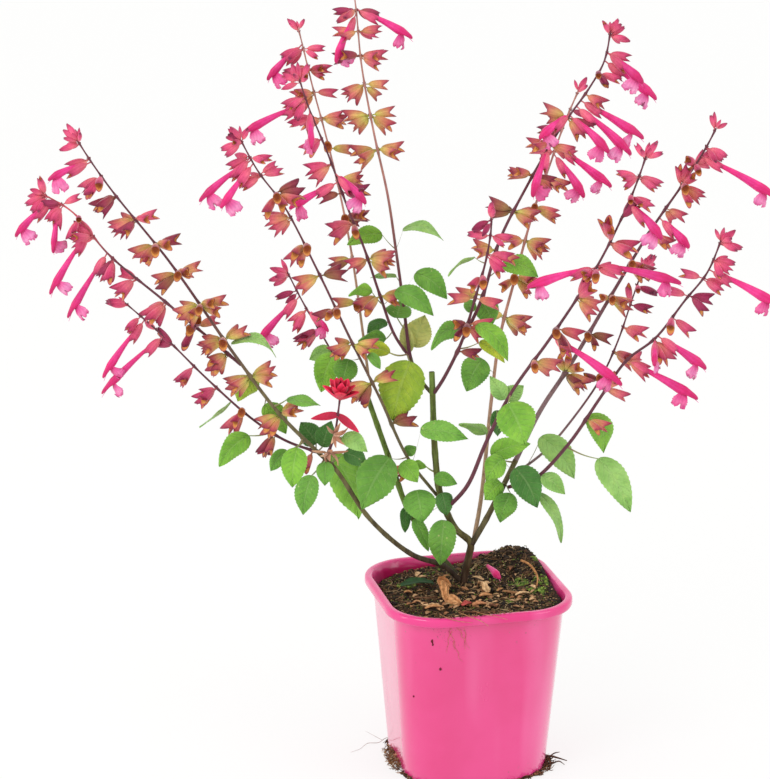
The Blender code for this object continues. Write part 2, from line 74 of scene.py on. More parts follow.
# Profiles as (inwards is negative, height); the lip's heights are measured down from the top.
POT_FOOT = ((-2.5, 0.0), (-1.6, 0.15), (-0.7, 0.7), (-0.2, 1.5), (0.0, 2.5))
POT_LIP = ((-1.6, 6.9), (-0.5, 6.3), (0.0, 5.4), (0.1, 4.0), (0.1, 2.6), (0.0, 1.6), (-0.35, 0.8),
           (-0.9, 0.3), (-1.7, 0.0), (-2.6, -0.1), (-3.8, -0.1), (-4.6, 0.1), (-5.2, 0.5), (-5.6, 1.1))
POT_OUTSIDE = np.array([1.0, 1.0, 1.0])
POT_INSIDE_SHADE = np.array([0.62, 0.30, 0.42])     # painted shade: the inner wall is tinted darker than the outside
SOIL_GAP = 0.35               # between the soil and the pot
SOIL_LEVEL = 131.0
SOIL_SLOPE = (0.06, 0.02)
# x, y, height, spread
SOIL_MOUNDS = [(-3, 10, 4.0, 14), (38, 52, 13.0, 18), (56, 24, 5.0, 12)]

# --- Stems -----------------------------------------------------------------------------------------
# Each branch is a smooth curve through its points, from foot to tip, with its two end radii.
BRANCHES = {
    "crown": ([(-4, 10, 114), (-3, 10, 134), (1, 7, 156), (2, 4, 168), (-9, 3, 179), (-20, 3, 204),
               (-24, 4, 232), (-27, 6, 298)], 2.8, 2.1),
    "left": ([(-6, 9, 137), (-18, 1, 151), (-41, -9, 163), (-72, -22, 195), (-97, -30, 236),
              (-109, -33, 249), (-136, -38, 279), (-165, -43, 321), (-211, -50, 393),
              (-250, -56, 446), (-267, -60, 473), (-275, -62, 488)], 2.1, 0.5),
    "left_outer": ([(-163, -43, 317), (-187, -30, 334), (-219, -18, 358), (-258, -8, 389),
                    (-284, 1, 418), (-311, 6, 433)], 1.2, 0.5),
    "left_low": ([(-109, -33, 249), (-133, -26, 256), (-158, -16, 270), (-191, -4, 297),
                  (-220, 8, 323), (-255, 20, 351)], 1.1, 0.5),
    "left_bud": ([(-103, -34, 245), (-97, -42, 265), (-94, -48, 285), (-92, -52, 303)],
                 1.0, 0.5),
    "green": ([(-8, 12, 140), (-21, 13, 156), (-43, 14, 188), (-55, 18, 220), (-75, 24, 277)],
              2.2, 2.0),
    "inner": ([(-23, 6, 204), (-44, 0, 234), (-65, -8, 283), (-85, -16, 327), (-108, -26, 380),
               (-132, -36, 431), (-149, -42, 456), (-164, -48, 486)], 1.3, 0.5),
    "inner_side": ([(-77, 26, 273), (-90, 30, 289), (-107, 38, 317), (-121, 44, 340),
                    (-136, 52, 368)], 0.9, 0.5),
    "centre": ([(-26, 5, 281), (-33, 14, 287), (-40, 22, 297), (-43, 30, 306), (-47, 36, 337),
                (-53, 44, 380), (-59, 52, 419), (-69, 62, 463), (-78, 72, 511), (-82, 80, 551),
                (-85, 84, 572)], 1.5, 0.5),
    "centre_dark": ([(-42, 27, 302), (-54, 24, 321), (-65, 20, 353), (-76, 15, 388), (-87, 10, 417),
                     (-101, 4, 458), (-115, -4, 495), (-123, -10, 522)], 1.2, 0.5),
    "centre_pale": ([(-73, -10, 300), (-78, 34, 326), (-85, 56, 371), (-94, 76, 414),
                     (-105, 94, 456), (-115, 106, 491), (-123, 114, 523), (-127, 118, 538)],
                    1.1, 0.5),
    "middle": ([(-25, 4, 283), (-18, -4, 297), (-6, -16, 327), (3, -30, 363), (10, -42, 394),
                (13, -50, 420), (12, -54, 433)], 1.3, 0.5),
    "middle_tall": ([(-5, -16, 329), (8, -12, 357), (21, -4, 399), (39, 4, 434), (63, 12, 475),
                     (85, 20, 505), (95, 24, 523), (100, 28, 550)], 1.2, 0.5),
    "back": ([(4, 4, 167), (10, 16, 198), (18, 42, 268), (24, 56, 310), (36, 68, 355),
              (49, 80, 401), (60, 88, 431), (73, 96, 467), (85, 102, 494)], 1.6, 0.5),
    "right_inner": ([(-16, 0, 195), (-1, -14, 218), (12, -26, 255), (29, -40, 296), (56, -54, 341),
                     (86, -70, 396), (105, -82, 442), (113, -88, 467), (117, -92, 483)],
                    1.5, 0.5),
    "right": ([(3, 3, 167), (13, 4, 185), (27, 10, 212), (35, 14, 228), (53, 24, 263), (75, 34, 295),
               (104, 46, 343), (134, 56, 392), (157, 62, 425), (173, 66, 450), (184, 68, 472)],
              2.1, 0.5),
    "right_back": ([(33, 12, 217), (58, 30, 231), (81, 48, 253), (100, 60, 278), (113, 72, 303),
                    (124, 84, 332), (135, 92, 363)], 1.1, 0.5),
    "right_outer": ([(30, 10, 209), (47, -2, 218), (71, -16, 249), (93, -32, 290), (110, -42, 320),
                     (129, -52, 339), (148, -62, 369), (162, -70, 391), (172, -76, 421)],
                    1.4, 0.5),
}
# Woody pieces without flowers: name, branch, and the stretch of it as fractions of its length.
WOODY = {
    "crown_stem": ("crown", "crown", 0.0, 1.0),
    "green_cut_stem": ("green_cut", "green", 0.0, 1.0),
    "left_woody_stem": ("left_woody", "left", 0.0, 0.352),
    "right_woody_stem": ("right_woody", "right", 0.0, 0.195),
    "centre_side_arm": ("centre_arm", "centre", 0.0, 0.115),
}
# Flowering shoots: branch, where the shoot starts on it, and its whorls of calyces from the tip down.
# Each letter is one calyx and says where it points: L left, R right, F front, B back, U up the shoot,
# l and r left and right with a droop, d down.
SHOOTS = {
    "left_high_shoot": ("left", 0.353, "UL Ll LF Ll LLlR LRlF LlRF LlRF LLlRF LLlRr LlR lR"),
    "left_outer_shoot": ("left_outer", 0.0, "ULl URl dF UL ld LU Ll FR ll"),
    "left_low_shoot": ("left_low", 0.0, "UU lR U U ll Ll lF ll l"),
    "left_bud_shoot": ("left_bud", 0.0, "UF LR Fd lrF"),
    "inner_left_shoot": ("inner", 0.0, "UULl LR RL FRr Ll Fl LlR LF LLR LlRd R L"),
    "inner_side_shoot": ("inner_side", 0.0, "UUL L ld Ll"),
    "centre_tall_shoot": ("centre", 0.118, "LR LlR LRR LRR llR LlRr LlRr"),
    "centre_dark_shoot": ("centre_dark", 0.0, "UL Ll L l Ll LR LF LRR LlR"),
    "centre_pale_shoot": ("centre_pale", 0.0, "U RL LRLF LlR LRR FR RR FRR Ll LF"),
    "middle_short_shoot": ("middle", 0.0, "Ul LR R F LR RF R"),
    "middle_tall_shoot": ("middle_tall", 0.0, "UR R FR R RrL RL RRLl RRL Lr L LRFR"),
    "back_shoot": ("back", 0.0, "U R L RL R FRr LRr FRr LRr"),
    "right_inner_shoot": ("right_inner", 0.0, "UU LRr Fr U UR FR UR FRd FR"),
    "right_tall_shoot": ("right", 0.196, "U Rr FU FURr R RR FRr FRr FR URr"),
    "right_back_shoot": ("right_back", 0.0, "U FR UR R r F"),
    "right_outer_shoot": ("right_outer", 0.0, "UR Rr LR LR Fr r Rr UR R"),
}
FIRST_WHORL = 10.0
WHORL_GROWTH = 2.6
CALYX_LENGTH = 19.5
CALYX_AIMS = {
    "L": (-1.0, 0.0, 0.0), "R": (1.0, 0.0, 0.0), "F": (0.0, -1.0, 0.15), "B": (0.0, 1.0, 0.0),
    "l": (-0.8, -0.15, -0.6), "r": (0.8, -0.15, -0.6), "d": (0.0, -0.3, -1.0),
}
# How each shoot looks: its stem's colour low down and at the tip, how many whorls from the tip are still
# young and crimson, and the length and number of the calyces that crown its tip.
SHOOT_LOOKS = {
    "left_high_shoot": ("olive", "maroon", 3, 12, 5),
    "left_outer_shoot": ("maroon", "rose", 6, 16, 6),
    "left_low_shoot": ("maroon", "maroon", 6, 12, 2),
    "left_bud_shoot": ("maroon", "maroon", 0, 16, 0),
    "inner_left_shoot": ("olive", "maroon", 3, 13, 6),
    "inner_side_shoot": ("maroon", "maroon", 4, 11, 3),
    "centre_tall_shoot": ("maroon", "pink", 2, 16, 6),
    "centre_dark_shoot": ("maroon", "maroon", 5, 14, 6),
    "centre_pale_shoot": ("tan", "pink", 3, 11, 4),
    "middle_short_shoot": ("maroon", "maroon", 4, 11, 2),
    "middle_tall_shoot": ("maroon", "maroon", 3, 13, 5),
    "back_shoot": ("tan", "pink", 3, 12, 4),
    "right_inner_shoot": ("maroon", "maroon", 6, 13, 5),
    "right_tall_shoot": ("mauve", "maroon", 3, 13, 3),
    "right_back_shoot": ("mauve", "maroon", 4, 12, 4),
    "right_outer_shoot": ("maroon", "maroon", 6, 13, 4),
}
# Open flowers: how far below the shoot's tip each one grows, and from there to its upper lip.
FLOWERS = {
    "left_high_shoot": [(25, (-29, -10, -11))],
    "left_outer_shoot": [(15, (-27, -6, -26)), (20, (-4, -12, -34)), (50, (-29, -6, -45)),
                         (70, (-30, 4, -49))],
    "left_low_shoot": [(26, (-31, -4, -43)), (44, (-46, 4, -45))],
    "inner_left_shoot": [(24, (-36, -8, -28)), (27, (-22, -18, -28))],
    "inner_side_shoot": [(27, (-31, -8, -33)), (38, (16, -12, -14))],
    "centre_dark_shoot": [(26, (-46, -10, -21)), (31, (2, -19, -25)), (83, (22, -12, -20)),
                          (90, (-35, -4, -19))],
    "centre_pale_shoot": [(19, (-26, -6, -26))],
    "centre_tall_shoot": [(24, (-15, -12, -35)), (21, (41, 0, -22))],
    "middle_tall_shoot": [(22, (25, -14, -20)), (28, (38, 4, -29)), (61, (46, 6, -29)),
                          (66, (39, -8, -34)), (74, (27, -18, -24)), (72, (-23, -10, -17)),
                          (101, (-12, -16, -33))],
    "back_shoot": [(51, (41, -6, -30)), (57, (22, -16, -30))],
    "right_inner_shoot": [(97, (-48, -6, -13)), (95, (57, -10, -11)), (43, (22, -14, -23)),
                          (160, (49, -14, -32))],
    "right_tall_shoot": [(84, (21, -14, -20)), (30, (57, -8, -31))],
    "right_outer_shoot": [(30, (49, -8, -25)), (94, (35, 2, -25)), (97, (-2, -22, -14)),
                          (125, (50, -10, -26))],
}

# --- Leaves ----------------------------------------------------------------------------------------
# For each branch: where along it the leaf grows, from there to the foot of the blade, from that foot to
# the blade's tip, its width, its turn about the midrib, how much it arches, and its tone.
LEAVES = {
    "left": [
        (0.34, (-9, -18, -7), (-7, -6, -28), 17, -10, 0.10, "mid"),
        (0.33, (-2, -12, 4), (-1, -8, -15), 13, 5, 0.10, "mid"),
        (0.32, (-1, 14, 5), (20, 10, -53), 29, -12, 0.08, "bright"),
        (0.39, (-4, -11, -4), (-4, -6, -28), 19, 10, 0.10, "bright"),
        (0.36, (0, 9, 2), (-11, 6, 15), 18, 10, 0.06, "dark"),
        (0.52, (2, 9, -2), (-15, 3, -17), 19, 20, 0.08, "yellow"),
        (0.48, (-2, 8, -8), (18, 4, -21), 16, 20, 0.08, "bright"),
        (0.58, (1, 2, 3), (32, 4, -10), 12, 72, 0.30, "pale"),
    ],
    "left_low": [
        (0.20, (-16, -4, -1), (-23, -8, -19), 18, 15, 0.10, "bright"),
    ],
    "inner": [
        (0.12, (-13, -14, 4), (-21, -16, -34), 30, 8, 0.08, "mid"),
        (0.10, (6, -17, 31), (35, -4, -3), 16, 35, 0.06, "broad"),
        (0.39, (-8, 9, -3), (-5, -4, -18), 18, 10, 0.08, "mid"),
    ],
    "green": [
        (0.46, (10, -20, 13), (4, -10, -22), 24, 10, 0.06, "mid"),
    ],
    "crown": [
        (0.33, (-14, -13, 16), (-3, -7, -33), 21, 8, 0.08, "mid"),
    ],
    "back": [
        (0.36, (-9, -10, 14), (-13, -8, -22), 22, 5, 0.10, "mid"),
    ],
    "centre_dark": [
        (0.02, (2, -20, 0), (-13, -6, -44), 33, -5, 0.08, "yellow"),
        (0.20, (9, -7, 13), (28, -8, -16), 16, 15, 0.12, "mid"),
        (0.02, (-13, -22, 7), (-23, -4, 7), 13, 20, 0.06, "acid"),
    ],
    "inner_side": [
        (0.19, (-8, -8, 18), (-10, -8, -27), 20, 10, 0.10, "bright"),
    ],
    "centre": [
        (0.37, (-10, 2, 11), (-26, 0, -7), 15, 15, 0.12, "bright"),
        (0.37, (5, 0, 15), (30, -4, -5), 12, 62, 0.22, "pale"),
        (0.27, (10, -2, 15), (24, -6, -17), 17, 15, 0.12, "mid"),
        (0.14, (4, 8, -2), (7, 8, 23), 21, 10, 0.05, "straw"),
    ],
    "middle": [
        (0.27, (5, 4, 14), (-26, -4, -12), 16, 25, 0.22, "mid"),
        (0.34, (9, -9, 11), (24, -6, -24), 14, 20, 0.16, "bright"),
    ],
    "middle_tall": [
        (0.08, (5, 10, 6), (9, -4, -15), 19, -15, 0.06, "mid"),
        (0.19, (10, 8, 8), (27, 6, -10), 15, 10, 0.14, "bright"),
    ],
    "right_inner": [
        (0.35, (-2, -6, -5), (13, -10, -27), 28, 10, 0.08, "bright"),
    ],
    "right": [
        (0.19, (-18, -11, 9), (27, -6, 13), 16, 15, 0.05, "bright"),
        (0.175, (-7, -21, 15), (-14, -8, -14), 18, 10, 0.06, "bright"),
        (0.162, (4, -18, 11), (18, -10, -26), 22, 10, 0.08, "dark"),
        (0.145, (4, -8, -6), (-9, -4, -21), 18, 10, 0.08, "mid"),
    ],
    "right_back": [
        (0.07, (10, -2, 23), (26, -6, -30), 20, 15, 0.10, "pale"),
    ],
    "right_outer": [
        (0.03, (15, -8, -3), (18, -8, -36), 12, 50, 0.18, "pale"),
        (0.23, (23, -6, -7), (24, -8, -38), 20, 20, 0.08, "pale"),
        (0.33, (3, 7, 2), (16, 8, -30), 18, 15, 0.12, "bright"),
    ],
}
# Small leaves with no CAD node of their own, in the same terms.
SMALL_LEAVES = {
    "left_low": [(0.37, (-4, 4, 2), (-26, 4, -18), 10, 70, -0.05, "pale")],
    "left": [
        (0.384, (-13, 1, -8), (-13, 0, -15), 13, 20, 0.08, "mid"),
        (0.358, (4, 7, 1), (6, 6, 18), 16, -15, 0.06, "dark"),
        (0.462, (10, -3, 6), (24, -4, -3), 12, 65, 0.05, "mid"),
        (0.327, (10, 7, 6), (17, 2, -10), 13, 20, 0.08, "dark"),
    ],
    "left_bud": [(0.33, (6, -3, 1), (19, -2, -9), 13, 25, 0.10, "pale")],
    "inner": [
        (0.09, (-9, -10, 7), (12, -6, -13), 15, 15, 0.06, "bright"),
        (0.12, (-1, 4, 1), (7, 2, 6), 9, 15, 0.05, "mid"),
        (0.38, (5, -6, 8), (9, -4, -10), 8, 30, 0.08, "mid"),
    ],
    "green": [(0.42, (0, -11, 3), (-1, -4, -19), 10, 30, 0.06, "dark")],
    "crown": [
        (0.482, (-21, -4, -11), (11, -6, -23), 11, 30, 0.06, "mid"),
        (0.518, (1, -8, 4), (4, -2, -17), 15, 30, 0.05, "dark"),
        (0.562, (-3, -7, 7), (17, -4, -3), 11, 15, 0.05, "mid"),
        (0.606, (-8, -4, 6), (-12, 4, 1), 9, 30, 0.06, "bright"),
    ],
    "back": [(0.23, (-1, -1, 1), (-19, -4, 11), 13, 35, 0.06, "pale")],
    "centre_dark": [
        (0.20, (-8, -5, 11), (-17, -4, 0), 12, 30, 0.18, "bright"),
        (0.11, (-5, -5, -5), (-20, -4, 1), 13, 20, 0.10, "mid"),
        (0.14, (-2, 3, 0), (-15, 6, -10), 11, 20, 0.10, "dark"),
        (0.01, (-1, 6, 1), (-2, 6, 22), 11, 10, 0.05, "straw"),
    ],
    "inner_side": [(0.36, (0, 1, 0), (-17, 0, -5), 13, 15, 0.08, "pale")],
    "centre": [
        (0.294, (-3, 10, 2), (-19, 4, -2), 9, 50, 0.05, "pale"),
        (0.179, (-7, -5, 11), (3, 12, 10), 19, 10, 0.05, "mid"),
    ],
    "middle": [
        (0.51, (0, 4, -6), (-5, 4, 9), 10, 20, 0.05, "mid"),
        (0.27, (15, 4, 4), (20, 4, -15), 10, 20, 0.10, "acid"),
        (0.73, (-7, 5, 3), (-20, 0, -12), 10, 65, 0.12, "pale"),
    ],
    "right_inner": [
        (0.28, (0, 5, 5), (2, 2, -21), 12, 10, 0.05, "dark"),
        (0.34, (-3, 5, -3), (-9, 4, 17), 13, 20, 0.05, "pale"),
        (0.34, (-1, 5, -3), (12, 4, 10), 13, 20, 0.05, "pale"),
    ],
    "right": [(0.144, (-3, -6, 2), (-13, -8, -10), 18, 10, 0.06, "bright")],
    "right_outer": [(0.09, (5, -7, 5), (17, -6, -12), 13, 15, 0.08, "pale")],
}
LEAF_TONES = {
    "mid": srgb(110, 166, 60),
    "broad": srgb(118, 174, 66),
    "bright": srgb(132, 188, 60),
    "dark": srgb(68, 122, 46),
    "yellow": srgb(154, 182, 48),
    "pale": srgb(150, 194, 104),
    "acid": srgb(190, 206, 48),
    "straw": srgb(196, 196, 112),
}
BLADE_STATIONS = 54           # rings along a blade: four to each tooth of its edge
BLADE_TEETH = 13
BLADE_ACROSS = 11
BLADE_THICKNESS = 0.32
TOOTH_DEPTH = 0.08
STALK_TINT = srgb(132, 86, 78)
VEIN_COUNT = 7.5              # side veins on each half of a blade
VEIN_SLANT = 1.7              # how far they climb towards the blade's edge, by the space between two

# --- Colours ---------------------------------------------------------------------------------------
STEM_TINTS = {
    "olive": srgb(112, 104, 68),
    "maroon": srgb(104, 52, 66),
    "rose": srgb(196, 84, 94),
    "tan": srgb(172, 142, 112),
    "mauve": srgb(136, 108, 112),
    "pink": srgb(182, 128, 118),
    "green": srgb(112, 138, 62),
    "bark": srgb(92, 84, 56),
    "crown": srgb(96, 62, 52),
}
DARK_SHARE = 0.14             # of the calyces are dark maroon
DARK_CALYX = np.array([0.50, 0.30, 0.50])
TWINS = (0, 1, 1, 2, 2)       # how many more calyces grow beside each
# The tints of a calyx at these places, from its stalk to its lips.
CALYX_PLACES = (0.0, 0.12, 0.3, 0.62, 0.85, 1.0)
YOUNG_CALYX = [srgb(150, 70, 88), srgb(214, 104, 112), srgb(230, 104, 124), srgb(226, 84, 124),
               srgb(204, 62, 106), srgb(146, 42, 80)]
RIPE_CALYX = [srgb(134, 70, 66), srgb(190, 148, 80), srgb(214, 142, 96), srgb(212, 102, 104),
              srgb(190, 72, 92), srgb(138, 44, 72)]
OLD_CALYX = [srgb(132, 104, 62), srgb(172, 172, 74), srgb(206, 182, 92), srgb(210, 144, 96),
             srgb(190, 86, 88), srgb(136, 46, 66)]
SCARLET_CALYX = [srgb(130, 30, 52), srgb(190, 28, 58), srgb(208, 32, 66), srgb(216, 44, 82),
                 srgb(196, 28, 62), srgb(150, 20, 48)]
DRY_CALYX = [srgb(170, 120, 90), srgb(204, 160, 124), srgb(220, 180, 146), srgb(212, 162, 128),
             srgb(192, 136, 104), srgb(164, 104, 80)]
PALETTES = {"left_bud_shoot": (SCARLET_CALYX, DRY_CALYX, DRY_CALYX)}
CALYX_INSIDE = srgb(236, 176, 92)
# The floor of a calyx's cup is painted darker: painted shade deep in the cup.
CALYX_DEPTH_SHADE = srgb(158, 84, 42)
# The tints of a flower's tube, and of its lower lip, at these places along each.
PETAL_PLACES = (0.0, 0.3, 0.6, 0.8, 1.0)
PETAL_TINTS = [srgb(214, 34, 104), srgb(226, 34, 114), srgb(234, 50, 136), srgb(220, 26, 108),
               srgb(200, 20, 96)]
PETAL_STREAK = np.array([1.04, 1.9, 1.32])    # what the tint of a flower's streaks is multiplied by
LIP_TINTS = [srgb(232, 60, 140), srgb(240, 118, 176), srgb(248, 168, 206), srgb(244, 150, 194),
             srgb(236, 110, 168)]


# --- Curves and lofts ------------------------------------------------------------------------------
def unit(vector):
    return vector / np.linalg.norm(vector)


def square_to(vector, along):
    """The part of a vector that is square to a direction, at unit length."""
    return unit(vector - np.dot(vector, along) * along)


def random_vector(rng):
    return np.array([rng.uniform(-1, 1), rng.uniform(-1, 1), rng.uniform(-1, 1)])


def between(a, b, share):
    return a + (b - a) * share


def step_up(value, low, high):
    """0 below low, 1 above high, smooth between."""
    share = np.clip((value - low) / (high - low), 0.0, 1.0)
    return share * share * (3 - 2 * share)


def ramp(places, tints, at):
    """Colours read from a row of colour stops."""
    at = np.asarray(at, float)
    stops = np.array(tints)
    return np.stack([np.interp(at, places, stops[:, channel]) for channel in range(3)], axis=-1)


def smooth_curve(points, steps=12):
    """A centripetal Catmull-Rom curve through the points."""
    pts = np.array(points, float)
    pts = np.vstack([2 * pts[0] - pts[1], pts, 2 * pts[-1] - pts[-2]])
    curve = []
    for p0, p1, p2, p3 in zip(pts, pts[1:], pts[2:], pts[3:]):
        t1 = math.dist(p0, p1) ** 0.5
        t2 = t1 + math.dist(p1, p2) ** 0.5
        t3 = t2 + math.dist(p2, p3) ** 0.5
        for t in np.linspace(t1, t2, steps, endpoint=False):
            a1 = between(p0, p1, t / t1)
            a2 = between(p1, p2, (t - t1) / (t2 - t1))
            a3 = between(p2, p3, (t - t2) / (t3 - t2))
            b1 = between(a1, a2, t / t2)
            b2 = between(a2, a3, (t - t1) / (t3 - t1))
            curve.append(between(b1, b2, (t - t1) / (t2 - t1)))
    curve.append(pts[-2])
    return np.array(curve)


class Branch:
    """A stem's centre line, with its place, direction and radius at any fraction of its length."""

    def __init__(self, points, foot_radius, tip_radius):
        self.line = smooth_curve(points)
        steps = np.linalg.norm(np.diff(self.line, axis=0), axis=1)
        self.reach = np.concatenate([[0.0], np.cumsum(steps)])
        self.length = self.reach[-1]
        self.radii = (foot_radius, tip_radius)

    def at(self, fraction):
        reach = np.asarray(fraction) * self.length
        return np.stack([np.interp(reach, self.reach, self.line[:, axis]) for axis in range(3)], axis=-1)

    def direction(self, fraction):
        return unit(self.at(min(fraction + 0.01, 1.0)) - self.at(max(fraction - 0.01, 0.0)))

    def radius(self, fraction):
        return between(*self.radii, fraction)


def cross_frames(points):
    """Two side vectors for each point of a path, turned as little as possible along the way."""
    side = np.array((0.31, 0.9, 0.3))
    frames = []
    for tangent in np.gradient(np.array(points, float), axis=0):
        tangent = unit(tangent)
        side = square_to(side, tangent)
        frames.append((side, np.cross(tangent, side)))
    return frames


class Shape:
    """Closed lofts gathered for one mesh. Each point has a tint, and two places that only leaves use."""

    def __init__(self):
        self.points = []
        self.faces = []
        self.tints = []
        self.places = []
        self.count = 0

    def loft(self, rings, tints, places=(0.0, 0.0)):
        """One closed surface through rings of equal length, capped at both ends."""
        rings = np.asarray(rings, float)
        rows, around = rings.shape[:2]
        self.points.append(rings.reshape(-1, 3))
        self.tints.append(np.broadcast_to(tints, rings.shape).reshape(-1, 3))
        self.places.append(np.broadcast_to(places, (rows, around, 2)).reshape(-1, 2))
        index = np.arange(rows * around).reshape(rows, around) + self.count
        corners = (index[:-1], np.roll(index[:-1], -1, 1), np.roll(index[1:], -1, 1), index[1:])
        self.faces.extend(np.stack(corners, axis=-1).reshape(-1, 4).tolist())
        self.faces.append(index[0, ::-1].tolist())
        self.faces.append(index[-1].tolist())
        self.count += rows * around

    def tube(self, points, radii, sides, tints, square=0.0):
        """A tube along a path. square makes its section four-cornered, as a sage's stem is."""
        angles = np.arange(sides) * 2 * math.pi / sides
        swell = 1 + square * np.cos(4 * angles)
        rings = []
        for point, radius, (across, up) in zip(points, radii, cross_frames(points)):
            spokes = np.outer(np.cos(angles) * swell, across) + np.outer(np.sin(angles) * swell, up)
            rings.append(point + radius * spokes)
        tints = np.asarray(tints, float)
        if tints.ndim == 2:
            tints = tints[:, None, :]
        self.loft(rings, tints)


def make_piece(name, shape, material, replaced=(), smooth=True):
    """A mesh object from a shape, on the root body, that stands for the CAD nodes named."""
    mesh = bpy.data.meshes.new(name)
    points = np.concatenate(shape.points) * MM
    mesh.from_pydata(points.tolist(), [], shape.faces)
    tint = mesh.attributes.new("tint", "FLOAT_COLOR", "POINT")
    rgba = np.ones((len(points), 4))
    rgba[:, :3] = np.concatenate(shape.tints)
    tint.data.foreach_set("color", rgba.ravel())
    places = np.concatenate(shape.places)
    for column, label in enumerate(("along", "across")):
        mark = mesh.attributes.new(label, "FLOAT", "POINT")
        mark.data.foreach_set("value", places[:, column])
    work = bmesh.new()
    work.from_mesh(mesh)
    bmesh.ops.recalc_face_normals(work, faces=work.faces)
    work.to_mesh(mesh)
    work.free()
    if smooth:
        mesh.shade_smooth()
        mesh.set_sharp_from_angle(angle=SHARP_ANGLE)
    mesh.materials.append(material)
    obj = bpy.data.objects.new(name, mesh)
    bpy.context.scene.collection.objects.link(obj)
    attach(obj, "root")
    if replaced:
        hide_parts(*replaced)
    return obj


# --- Materials -------------------------------------------------------------------------------------
class Shader:
    """A Principled material, with short calls for the nodes that feed it."""

    def __init__(self, name, **constants):
        self.material = bpy.data.materials.new(name)
        self.material.use_nodes = True
        self.tree = self.material.node_tree
        self.surface = self.tree.nodes["Principled BSDF"]
        for socket, value in constants.items():
            self.surface.inputs[socket.replace("_", " ")].default_value = value

    def node(self, kind, inputs=(), output=0, **settings):
        made = self.tree.nodes.new(kind)
        for key, value in settings.items():
            setattr(made, key, value)
        for key, value in dict(inputs).items():
            if isinstance(value, bpy.types.NodeSocket):
                self.tree.links.new(value, made.inputs[key])
            else:
                made.inputs[key].default_value = value
        return made.outputs[output]

    def tint(self):
        return self.node("ShaderNodeAttribute", attribute_name="tint")

    def mark(self, name):
        return self.node("ShaderNodeAttribute", output=2, attribute_name=name)

    def place(self, stretch=(1.0, 1.0, 1.0)):
        where = self.node("ShaderNodeTexCoord", output="Object")
        return self.node("ShaderNodeMapping", {"Vector": where, "Scale": stretch})

    def noise(self, scale, detail=3.0, stretch=(1.0, 1.0, 1.0), rough=0.55):
        inputs = {"Vector": self.place(stretch), "Scale": scale, "Detail": detail, "Roughness": rough}
        return self.node("ShaderNodeTexNoise", inputs)

    def cells(self, scale, feature="F1"):
        inputs = {"Vector": self.place(), "Scale": scale}
        return self.node("ShaderNodeTexVoronoi", inputs, feature=feature)

    def math(self, operation, *values):
        return self.node("ShaderNodeMath", dict(enumerate(values)), operation=operation)

    def span(self, value, low, high, to_low=0.0, to_high=1.0):
        inputs = {0: value, 1: low, 2: high, 3: to_low, 4: to_high}
        return self.node("ShaderNodeMapRange", inputs, interpolation_type="SMOOTHSTEP")

    def mix(self, factor, first, second, blend="MIX"):
        first = (*first, 1.0) if isinstance(first, (tuple, list, np.ndarray)) else first
        second = (*second, 1.0) if isinstance(second, (tuple, list, np.ndarray)) else second
        inputs = {0: factor, 6: first, 7: second}
        return self.node("ShaderNodeMix", inputs, output=2, data_type="RGBA", blend_type=blend)

    def times(self, value, factor):
        return self.math("MULTIPLY", value, factor)

    def tinted(self, colour, factor):
        return self.mix(1.0, colour, factor, "MULTIPLY")

    def bump(self, height, distance):
        """Adds relief, on top of any that the surface has, in millimetres."""
        inputs = {"Height": height, "Distance": distance * MM}
        normal = self.surface.inputs["Normal"]
        if normal.links:
            inputs["Normal"] = normal.links[0].from_socket
        self.tree.links.new(self.node("ShaderNodeBump", inputs), normal)

    def finish(self, colour, roughness):
        self.tree.links.new(colour, self.surface.inputs["Base Color"])
        self.tree.links.new(roughness, self.surface.inputs["Roughness"])
        return self.material


def leaf_material():
    """A soft green blade with a midrib, side veins, a fine net between them and a paler underside.
    The along mark runs from 0 at the blade's foot to 1 at its tip, plus 2 on the underside."""
    s = Shader("leaf", Specular_IOR_Level=0.35, Sheen_Weight=0.12)
    along = s.mark("along")
    across = s.math("ABSOLUTE", s.mark("across"))
    under = s.math("GREATER_THAN", along, 1.5)
    along = s.math("SUBTRACT", along, s.times(under, 2.0))
    phase = s.math("SUBTRACT", s.times(along, VEIN_COUNT), s.times(across, VEIN_SLANT))
    phase = s.math("FRACT", phase)
    side = s.math("SUBTRACT", 0.5, s.math("ABSOLUTE", s.math("SUBTRACT", phase, 0.5)))
    veins = s.span(side, 0.015, 0.11, 1.0, 0.0)
    veins = s.times(veins, s.span(across, 0.55, 1.0, 0.75, 0.2))
    midrib = s.span(across, 0.02, 0.10, 1.0, 0.0)
    veins = s.math("MAXIMUM", veins, midrib)
    net = s.span(s.cells(520, "DISTANCE_TO_EDGE"), 0.0, 0.10, 1.0, 0.0)
    tint = s.tint()
    patches = s.noise(70, 3.0)
    colour = s.mix(s.span(patches, 0.35, 0.7), tint, s.tinted(tint, (0.62, 0.74, 0.55)))
    colour = s.mix(s.times(s.span(s.noise(190, 2.0), 0.5, 0.72), 0.35), colour,
                   s.tinted(tint, (1.35, 1.18, 0.9)))
    colour = s.mix(s.times(net, 0.20), colour, s.tinted(tint, (0.7, 0.82, 0.6)))
    pale = s.mix(0.45, tint, (0.42, 0.56, 0.24))
    colour = s.mix(s.times(veins, 0.36), colour, pale)
    colour = s.mix(s.times(s.span(across, 0.9, 1.0), 0.25), colour, pale)
    colour = s.mix(s.times(under, 0.5), colour, s.mix(0.5, tint, (0.40, 0.50, 0.32)))
    spots = s.span(s.cells(230), 0.10, 0.20, 1.0, 0.0)
    spots = s.times(spots, s.span(s.noise(45, 2.0), 0.58, 0.68))
    colour = s.mix(s.times(spots, 0.6), colour, (0.62, 0.60, 0.24))
    quilt = s.noise(330, 2.0)
    s.bump(s.times(veins, -1.0), 0.30)
    s.bump(s.times(net, -1.0), 0.10)
    s.bump(quilt, 0.35)
    return s.finish(colour, s.span(s.noise(240, 2.0), 0.3, 0.7, 0.40, 0.62))


